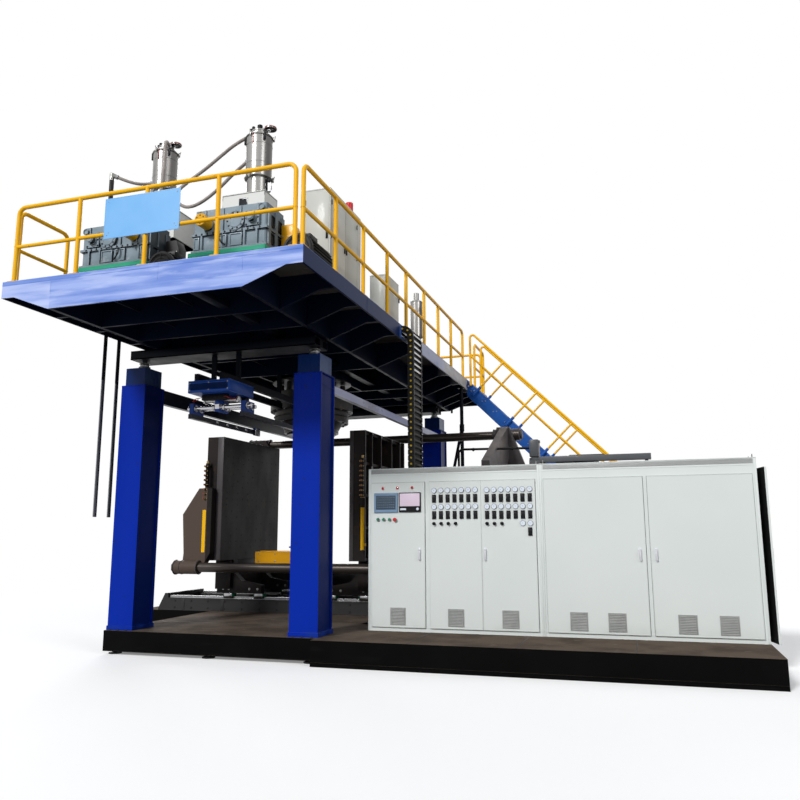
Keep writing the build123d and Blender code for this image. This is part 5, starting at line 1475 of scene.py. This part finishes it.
# Clamp
def platen_trim(side, name, body, thickness):
    """Tapped holes on the mould face, edge strips, valves, slide covers and bolts of one platen."""
    inner = 1053
    face, back, heel = side * inner, side * (inner + thickness), side * (inner + thickness + 181)
    holes = [place(face - side * 0.2, -800 + column * 160, 1180 + row * 94, (-side, 0, 0))
             for column in range(11) for row in range(19)
             if (column + row) % 2 == 0 or row in (2, 9, 16)]
    hole = round_bar((0, 0, 0), (0, 0, 1.2), 14, 10, 0)
    sink(hole, UP, 4, 1)
    spread(name + "_tapped_holes", hole, holes, body, "black_plastic")
    strips = [slab(face - side * 1, back, y - 3, y + 3, 1087, 2972, 1.5) for y in (-937, 937)]
    strips.append(slab(face, heel, -933, 935, 2971, 2977, 1.5))
    strips += [slab(heel - side * 8, heel + side * 3, y - 15, y + 15, 1090, 2970) for y in (-920, 922)]
    build(name + "_edges", strips, body, "yoke_steel")
    x, y = side * 1283, -1005
    bright, red = [], []
    for z in range(2020, 2511, 70):
        bright += [round_bar((x, -1060, z), (x, -1088, z), 15, 16, 2),
                   round_bar((x - 34, -1050, z), (x + 34, -1050, z), 9, 12, 2)]
        red.append(slab(x - 4, x + 4, -1098, -1086, z - 14, z + 16))
    bright += [ring((x, y, z), UP, 30, 6, 22) for z in (1990, 1246)]
    bright.append(round_bar((x, y, 2556), (x, y, 2600), 20, 18, 4))
    build(name + "_valve_bodies", bright, body, "brass")
    build(name + "_valve_levers", red, body, "valve_red")
    covers, greens = [], []
    for y in (-rail_y, rail_y):
        for x0 in (side * 530, side * 1060):
            x1 = x0 + side * 150
            covers.append(slab(x0 + side * 6, x1 - side * 6, y - 61.5, y + 61.5, 524, 572, 4))
            greens += [slab(x - 5, x + 5, y - 61, y + 61, 523, 570, 3) for x in (x0, x1)]
    build(name + "_slide_blocks", covers, body, "steel")
    build(name + "_slide_seals", greens, body, "button_green")
    crossing = [slab(side * 1081, side * 1313, -408, 408, 600, 618, 3)]
    for x in (1072, 1322):
        panel = slab(side * (x - 9), side * (x + 9), -408, 408, 578, 1086, 3)
        sink(panel, (side, 0, 0), 60, 4)
        crossing.append(panel)
    crossing += [slab(side * 1064, side * 1330, y - 8, y + 8, 640, 1086, 3) for y in (-588, 588)]
    build(name + "_foot_plates", crossing, body, "clamp_dark")
    places = [place(side * x, y, 640, FRONT) for y in (-532, 408) for x in (620, 760, 1120, 1220)]
    places += [place(heel + side * 0.5, y, z, (side, 0, 0)) for y in (-620, -220, 290, 700)
               for z in (1105, 2954)]
    bolts(name + "_bolts", places, 16, body, "bolt_zinc")


def gusset_trim():
    """Hub nuts, weld beads and bolts of the tie-bar gussets on the left platen."""
    shapes, places = [], []
    for y, z in tie_spots:
        shapes += [round_bar((-1700, y, z), (-1716, y, z), 112, 32, 4),
                   round_bar((-1716, y, z), (-1752, y, z), 84, 6, 6),
                   ring((-1312, y, z), RIGHT, 97, 9, 32), ring((-1600, y, z), RIGHT, 101, 5, 32)]
        places += pitch_circle((-1716, y, z), 98, 8, LEFT, 22)
    build("tie_hub_nuts", shapes, "clamp_frame", "yoke_steel")
    bolts("tie_hub_bolts", places, 8, "clamp_frame", "bolt_dark")


def right_platen_trim():
    """The rod's clamp ring with its bolts, and the stepped bracket of the mould's guide."""
    z = clamp_axis
    shapes = [slab(1115, 1318, -262, 262, z - 262, z + 262, 8),
              round_bar((1314, 0, z), (1372, 0, z), 164, 44, 5)]
    build("rod_clamp", shapes, "moving_platen", "yoke_steel")
    places = pitch_circle((1372, 0, z), 136, 12, RIGHT)
    bolts("rod_clamp_bolts", places, 12, "moving_platen", "bolt_zinc")
    bracket = [slab(846, 1054, -330, -250, 1186, 1290, 8), slab(900, 1054, -345, -235, 1120, 1190, 8),
               slab(1030, 1054, -390, -190, 1100, 1320, 5)]
    sink(bracket[0], FRONT, 14, 5)
    build("mould_guide_bracket", bracket, "moving_platen", "clamp_dark")


def yoke_trim():
    """Hub nuts, foot blocks and bolts of the yoke and the tie bars."""
    shapes = []
    for y, z in tie_spots:
        shapes += [round_bar((3233, y, z), (3250, y, z), 108, 32, 4),
                   round_bar((3250, y, z), (3286, y, z), 78, 6, 6),
                   ring((2812, y, z), RIGHT, 97, 8, 32)]
    shapes += [slab(x + 6, x + 144, y - 62, y + 62, 524, 572, 4) for y in (-rail_y, rail_y)
               for x in (2740, 3135)]
    build("yoke_nuts", shapes, "clamp_frame", "yoke_steel")
    places = [place(x, y, 640, FRONT) for y in (-683, 319) for x in (2760, 2900, 3120, 3270)]
    places += pitch_circle((2950, 0, clamp_axis), 160, 12, LEFT, 15)
    bolts("yoke_bolts", places, 16, "clamp_frame", "bolt_zinc")


def cylinder_trim():
    """Tie rods, nuts, pipes, the prefill valve and the pressure line of the clamp cylinder."""
    z = clamp_axis
    corners = [(y, z + dz) for y in (-178, 178) for dz in (-178, 178)]
    rods = [round_bar((3080, y, rod_z), (4560, y, rod_z), 22, 18, 2) for y, rod_z in corners]
    rods += [ring((x, 0, z), RIGHT, 181, 7, 44) for x in (3420, 3880, 4300)]
    rods.append(round_bar((4518, 0, z), (4560, 0, z), 150, 44, 6))
    build("cylinder_rods", rods, "clamp_frame", "steel")
    nuts = [place(4520, y, rod_z, RIGHT) for y, rod_z in corners]
    bolts("cylinder_nuts", nuts, 34, "clamp_frame", "bolt_zinc")
    pipe_y = -150
    valve = [slab(3552, 3728, -118, 118, z + 240, z + 420, 8),
             round_bar((3640, 0, z + 500), (3640, 0, z + 540), 92, 32, 5),
             round_bar((3640, 0, z + 760), (3640, 0, z + 800), 74, 32, 5)]
    for x0, x1, drop_x in ((3180, 3560, 3180), (3720, 4430, 4430)):
        valve += [round_bar((x0, pipe_y, z + 240), (x1, pipe_y, z + 240), 24, 16, 3),
                  round_bar((drop_x, pipe_y, z + 150), (drop_x, pipe_y, z + 262), 24, 16, 3)]
    valve += [slab(x - 20, x + 20, -185, -120, z + 150, z + 280, 4) for x in (3640, 4100)]
    valve.append(slab(3563, 3696, -96, 96, 2581, 2836, 8))
    build("prefill_valve", valve, "clamp_frame", "tank_grey")
    route = [(3568, 0, 2720), (2518, 0, 2738), (2470, 0, 2700), (2470, 0, 2390), (2520, 0, 2340),
             (2952, 0, 2320)]
    line = pipe(route, 18, 16, 5)
    for x in (2700, 3300):
        cuff_z = 2733 - (x - 2518) * 0.017
        line.append(round_bar((x - 14, 0, cuff_z), (x + 14, 0, cuff_z), 26, 16, 4))
    build("clamp_pressure_line", line, "clamp_frame", "black_plastic")


def bed_trim():
    """Rail screws, edge plates and bolts on the clamp bed, and the guard behind it."""
    screws = [place(x, y, rail_top) for x in range(-2150, 3300, 110) for y in (-rail_y, rail_y)]
    head = round_bar((0, 0, -0.6), (0, 0, 0.12), 11, 10, 0.05)
    spread("rail_screws", head, screws, "base", "bolt_dark")
    places = [place(x, y, z, way) for x in range(-2100, 3300, 300)
              for y, z, way in ((-513, 440, FRONT), (-513, 335, FRONT), (513, 440, BACK))]
    bolts("bed_bolts", places, 14, "base", "bolt_dark")
    plates = [slab(-2220, 3396, y, y + 3, z0, z1, 1) for y in (-516, 513)
              for z0, z1 in ((466, 478), (292, 306))]
    plates += [slab(x, x + 60, -518, -513, 300, rail_y) for x in (-1980, -1270, 1330, 2040)]
    build("bed_edge_plates", plates, "base", "bed_dark")
    guard = []
    for x in range(-1850, 1351, 800):
        sheet = slab(x + 20, x + 780, 716, 724, 300, 900)
        sink(sheet, FRONT, 22, 2)
        guard.append(sheet)
    for x in range(-1850, 2151, 800):
        guard += [slab(x - 22, x + 22, 706, 750, base_top, 920, 4),
                  slab(x - 45, x + 45, 690, 765, base_top, 300, 3)]
    guard.append(slab(-1872, 2172, 708, 748, 900, 930, 4))
    build("bed_rear_guard", guard, "base", "bed_dark")


def blow_station_trim():
    """Pin guides, bolts, the cover's folds and the centring bar of the blowing station."""
    pin_x = 150
    shapes = []
    for x in (-pin_x, pin_x):
        shapes += [round_bar((x, 0, 1078), (x, 0, 1100), 72, 28, 4), ring((x, 0, 1090), UP, 60, 6)]
    shapes.append(slab(-120, 120, -244, -238, 930, 1010, 3))
    shapes += [round_bar((x, y, 331), (x, y, 900), 26, 20, 4) for x in (-230, 230) for y in (-120, 120)]
    build("blow_pin_guides", shapes, "base", "steel")
    folds = [slab(-456, 456, -940, -796, 1206, 1220, 4), slab(-456, -446, -938, -782, 960, 1216, 3),
             slab(446, 456, -938, -782, 960, 1216, 3), slab(-450, 450, -806, -800, 962, 1048, 3)]
    build("blow_cover_folds", folds, "base", "guard_yellow")
    bar = [slab(-250, 330, -236, -200, 1260, 1284, 5)]
    for x in (-200, 200):
        bar += [slab(x - 14, x + 14, -234, -202, 1036, 1266, 4),
                slab(x - 34, x + 34, -240, -190, 1040, 1050, 3)]
    build("centring_bar", bar, "base", "bed_dark")
    places = [place(x, -936, z, FRONT) for x in (-400, -130, 130, 400) for z in (1080, 1185)]
    places += [place(x + dx, dy, 1041) for x in (-pin_x, pin_x) for dx in (-90, 90) for dy in (-90, 90)]
    bolts("blow_station_bolts", places, 9, "base", "bolt_zinc")


# Control cabinets
door_spans = {1: (1837, 2536), 2: (2595, 3250), 3: (3252, 3912), 4: (4014, 5146), 5: (5194, 6311)}
vent_middles = {1: [2184.5], 2: [2920.5], 3: [3582], 4: [4369.5, 4794], 5: [5543, 5970]}
handle_x = {1: 2468, 3: 3295, 4: 5082, 5: 5257}


def louvres():
    """Framed vent grilles with sloping blades at the foot of each door."""
    for number, middles in vent_middles.items():
        outer = slab(-100, 100, -6, 0, -104, 104)
        sink(outer, FRONT, 9, 4.5)
        shapes = [outer]
        for row in range(11):
            blade = slab(-88, 88, -1.6, 1.6, -8, 8, 0.8)
            blade.data.transform(turned(0, -4, -86 + row * 17.2, -38, "X"))
            shapes.append(blade)
        places = [turned(x, door_face, 472.5) for x in middles]
        spread(f"vent_grille_{number}", join("grille", shapes), places, f"cabinet_door_{number}",
               "louvre_grey")


def door_fittings():
    """The folded rims of the doors, and the plates, grips and hubs of their handles."""
    low, high = 344, 2106
    for number, (left, right) in door_spans.items():
        rims = ((left + 3, right - 3, high - 5, high), (left + 3, right - 3, low, low + 5),
                (left + 3, left + 8, low + 5, high - 5), (right - 8, right - 3, low + 5, high - 5))
        fold = [slab(x0, x1, door_face - 0.8, door_face + 0.5, z0, z1, 0.5) for x0, x1, z0, z1 in rims]
        build(f"door_fold_{number}", fold, f"cabinet_door_{number}", "cabinet_cream")
    for number, x in handle_x.items():
        plate = slab(x - 16, x + 16, door_face - 1.9, door_face, 1156, 1296, 1.5)
        build(f"handle_plate_{number}", [plate], f"cabinet_door_{number}", "handle_pale")
        grip = slab(x - 9, x + 9, door_face - 23, door_face - 16, 1158, 1262, 4, 3)
        hub = round_bar((x, door_face - 17, 1270), (x, door_face - 22, 1270), 9, 20, 2)
        build(f"handle_grip_{number}", [grip, hub], f"door_handle_{number}", "handle_pale")


def cabinet_trim():
    """The ribbed alloy strips along the top, roof edges, corner posts, back panels and eye bolts."""
    strips = []
    for x0, x1 in ((1822, 3938), (4012, 6330)):
        strips.append(slab(x0, x1, -2106.5, -2102, 2228, 2280, 1))
        for row in range(6):
            z = 2233 + row * 8.4
            strips.append(slab(x0 + 4, x1 - 4, -2110, -2105, z - 1.8, z + 1.8, 1))
    build("cap_strips", strips, "base", "strip_grey")
    roofs = []
    for x0, x1 in ((1787, 3966), (3970, 6364)):
        roofs += [slab(x0, x1, -2108, -1718, 2285, 2293), slab(x0, x1, -2106, -2102, 2205, 2212, 1.5)]
    roofs += [slab(x0, x1, -2105, -2102.5, 292, 2286, 1)
              for x0, x1 in ((1787.5, 1812), (3946, 3965), (3971, 3990), (6340, 6363.5))]
    build("cabinet_roof_edges", roofs, "base", "cabinet_back")
    backs = []
    for x0, x1 in ((1800, 2880), (2890, 3955), (3982, 5160), (5170, 6350)):
        panel = slab(x0, x1, -1724, -1719.5, 330, 2240)
        sink(panel, BACK, 24, 1.2)
        backs.append(panel)
    build("cabinet_back_panels", backs, "base", "cabinet_back")
    eyes = []
    for x in (1822, 3930, 4010, 6330):
        for y in (-2070, -1760):
            eyes += [ring((x, y, 2312), RIGHT, 17, 5, 20),
                     round_bar((x, y, 2292), (x, y, 2297), 16, 16, 1.5)]
    build("cabinet_eye_bolts", eyes, "base", "bolt_zinc")


def meter_bezel():
    """The raised rim and the seating ring of a panel meter, facing up."""
    seat = round_bar((0, 0, 0), (0, 0, 0.8), 33, 28, 0.3)
    return join("bezel", [seat, ring((0, 0, 1), UP, 30.5, 2, 28, 6)])


def needle():
    """A meter's slanting hand on its hub, facing up."""
    hand = slab(-0.8, 0.8, -3, 19, 1.6, 2.4, 0.3)
    hand.data.transform(turned(0, 0, 0, 50, "Z"))
    return join("needle", [hand, round_bar((0, 0, 1.4), (0, 0, 3.2), 3, 14, 0.6)])


def controller():
    """A 48 by 96 mm controller's frame with its sunk window and four keys, facing up."""
    surround = slab(-25, 25, -49, 49, 0, 3, 1.2)
    sink(surround, UP, 4, 1.2)
    keys = [slab(x - 4, x + 4, -38, -31, 1.5, 3, 0.6) for x in (-15, -5, 5, 15)]
    return join("controller", [surround] + keys)


def instrument_places(number):
    """Where the meters, controllers and knobs of door 2 or 3 stand."""
    first, top = (2661, 2000) if number == 2 else (3327, 1995)
    meters = [(first + 87 * n, z) for n in range(7) for z in (top, top - 202)]
    regulators = [(first + 87 * n, z) for n in range(7) for z in (top - 100, top - 302)]
    knobs = [(first - 2 + 91 * n, top - 406) for n in range(4 if number == 2 else 3)]
    if number == 3:
        meters += [(3759, top - 405), (3847, top - 405)]
        regulators.append((3843, 1491.5))
    return meters, regulators, knobs


def instruments():
    """Meters, controllers and knobs on doors 2 and 3."""
    for number in (2, 3):
        body = f"cabinet_door_{number}"
        meters, regulators, knobs = instrument_places(number)
        spots = [place(x, door_face - 10, z, FRONT) for x, z in meters]
        dial = round_bar((0, 0, 0), (0, 0, 1.8), 29, 28, 0.4)
        spread(f"meters_{number}", dial, spots, body, "gauge_face")
        spread(f"meter_bezels_{number}", meter_bezel(), spots, body, "bezel_metal")
        spread(f"meter_needles_{number}", needle(), spots, body, "bezel_metal")
        spots = [turned(x, door_face - 8, z, 90, "X") for x, z in regulators]
        spread(f"controllers_{number}", controller(), spots, body, "black_plastic")
        window = slab(-18, 18, 6, 34, 1.9, 2.6, 0.4)
        spread(f"controller_windows_{number}", window, spots, body, "display")
        digits = slab(-13, 13, 20, 26, 2.5, 2.9, 0.2)
        spread(f"controller_digits_{number}", digits, spots, body, "digits")
        spots = [place(x, door_face - 24, z, FRONT) for x, z in knobs]
        knob = [round_bar((0, 0, 0), (0, 0, 8), 15, 18, 2), slab(-3, 3, -14, 14, 6, 14, 1.5)]
        spread(f"knobs_{number}", join("knob", knob), spots, body, "black_plastic")


def operator_panel():
    """The keypad panel, the screen, the lamps and the buttons' rims and caps on door 1."""
    body = "cabinet_door_1"
    bezel = slab(1872, 2188, -2139, door_face, 1735, 1983, 4)
    sink(bezel, FRONT, 14, 3)
    build("keypad_panel", [bezel], body, "panel_grey")
    build("keypad_film", [slab(1900, 2160, -2139.5, -2136, 1775, 1950)], body, "key_dark")
    for name, model, y, coat in (
            ("keypad_keys", slab(-10, 10, -10, 10, 0, 1.5, 0.8), -2139, "key_dark"),
            ("keypad_marks", slab(-5, 5, -1.6, 1.6, 0, 0.4, 0.1), -2140.6, "key_pale")):
        places = [place(1922 + 27 * column, y, 1800 + 31 * row, FRONT)
                  for column in range(9) for row in range(5)]
        spread(name, model, places, body, coat)
    housing = slab(2204, 2490, -2141, door_face, 1739, 1983, 4)
    sink(housing, FRONT, 8, 2)
    build("screen_housing", [housing], body, "black_plastic")
    build("screen", [slab(2216, 2477, -2141, -2138, 1812, 1972, 1)], body, "pale_screen")
    dial = [round_bar((2450, -2139, 1776), (2450, -2146, 1776), 17, 26, 2),
            slab(2222, 2300, -2140.5, -2138, 1764, 1786, 1)]
    build("screen_dial", dial, body, "gauge_face")
    lamps, rims = [], []
    for x in (1988, 2184, 2377):
        lamps.append(round_bar((x, door_face, 2042), (x, -2144, 2042), 14.6, 24, 4))
        rims.append(ring((x, -2126, 2042), FRONT, 17, 3.4, 24))
    build("signal_lamps", lamps, body, "button_red")
    button_x, button_z, stop_x, stop_z = (1924, 2000, 2078), 1650, 2151, 1648
    rims += [ring((x, -2137, button_z), FRONT, 18.5, 2.4, 24) for x in button_x]
    rims.append(ring((stop_x, -2134, stop_z), FRONT, 18.5, 2.4, 24))
    build("button_rims", rims, body, "chrome")
    for number, x in enumerate(button_x, 1):
        cap = round_bar((x, -2145.5, button_z), (x, -2148, button_z), 12.5, 22, 0.8)
        sink(cap, FRONT, 2.5, 0.6)
        build(f"button_{number}_cap", [cap], f"button_{number}", "button_green")
    mushroom = round_bar((stop_x, -2152, stop_z), (stop_x, -2161, stop_z), 21, 30, 5)
    sink(mushroom, FRONT, 3, 0.8)
    build("stop_mushroom", [mushroom], "emergency_stop", "button_red")


def end_door_trim():
    """Louvre rows, hinges and the latch on the end door that stands ajar."""
    hinge_x, hinge_y, ajar = 6384.3, -1723, 11
    shapes = [slab(6383.5, 6388, -2060, -1790, z - 7, z + 7) for z in range(460, 653, 24)]
    shapes += [round_bar((6389, -1726, z - 50), (6389, -1726, z + 50), 7, 14, 2)
               for z in (520, 1240, 1960)]
    shapes.append(slab(6384, 6390, -2112, -2096, 1140, 1300, 3))
    piece = join("end_door_louvres", shapes)
    piece.data.transform(turned(hinge_x, hinge_y, 0, ajar, "Z")
                         @ Matrix.Translation(-at(hinge_x, hinge_y, 0)))
    done(piece, "cabinet_end_door", "louvre_grey")


# Hydraulic unit
def hydraulic_trim():
    """Cleaning covers, rims and tray of the tank, the pump's motor, pipes, filters and valves."""
    grey = []
    for x in (4200, 4900):
        for face, rim, way in ((-1381, -1392, FRONT), (-619, -608, BACK)):
            cover = round_bar((x, face, 1000), (x, rim, 1000), 210, 44, 4)
            sink(cover, way, 30, 3)
            grey.append(cover)
    grey += [slab(3868, 5272, y, y + 8, 2056, 2092, 3) for y in (-1412, -596)]
    tray = slab(3868, 5265, -1300, -1200, 2383, 2460, 5)
    sink(tray, UP, 6, 60)
    grey.append(tray)
    grey += [slab(x - 20, x + 20, -1275, -1225, 2088, 2386, 4) for x in (3920, 4560, 5210)]
    grey += [slab(3896, 5244, y, y + 8, z - 20, z + 20, 4) for z in (700, 1340) for y in (-1386, -622)]
    build("tank_covers", grey, "base", "tank_grey")
    y, z = -1000, 2320
    fin = slab(-230, 230, -2.5, 2.5, 120, 152, 0.8)
    cowl = round_bar((4560, y, z), (4605, y, z), 148, 36, 10)
    sink(cowl, RIGHT, 20, 10)
    dark = [copies("pump_fins", fin, [turned(4330, y, z, 15 * step, "X") for step in range(24)]),
            cowl, slab(4240, 4380, -1070, -930, 2440, 2478, 6),
            slab(4170, 4470, -1100, -900, 2092, 2110, 4),
            round_bar((4250, -1262, 2456), (4700, -1262, 2456), 17, 14, 4),
            round_bar((4250, -1235, 2452), (4700, -1235, 2452), 17, 14, 4)]
    build("pump_motor", dark, "base", "motor_black")
    bright = []
    for x in (4700, 4790):
        bright += [round_bar((x, -1180, 2090), (x, -1180, 2250), 38, 24, 8),
                   ring((x, -1180, 2200), UP, 39, 5, 24)]
    bright += [round_bar((3897, -760, 1700), (3886, -760, 1700), 60, 32, 4),
               slab(3888, 3900, -1280, -1240, 1180, 1500, 4)]
    for y in (-1120, -1040, -960, -880):
        bright += [round_bar((5050, y, 2240), (5050, y, 2300), 24, 20, 5),
                   slab(4880, 5100, y - 24, y + 24, 2250, 2262, 3)]
    build("tank_fittings", bright, "base", "steel")


def add_details():
    """Every piece that is modelled over the CAD nodes."""
    for trim in (column_trim, post_screws, base_trim, rail_feet, fascia_trim, landing_post, sign_trim):
        trim()
    gearbox_trim(1, "gearbox_right")
    gearbox_trim(-1, "gearbox_left")
    for trim in (drives, loaders_trim, platform_cabinet_trim, chain_trim, stair_trim, takeout_trim,
                 head_trim, barrel_trim):
        trim()
    platen_trim(-1, "left_platen", "clamp_frame", 100)
    platen_trim(1, "right_platen", "moving_platen", 60)
    for trim in (gusset_trim, right_platen_trim, yoke_trim, cylinder_trim, bed_trim, blow_station_trim,
                 louvres, door_fittings, cabinet_trim, instruments, operator_panel, end_door_trim,
                 hydraulic_trim):
        trim()


set_up_camera()
set_up_light()
ribbed_hoses()
paint_nodes()
add_details()
lay_floor()
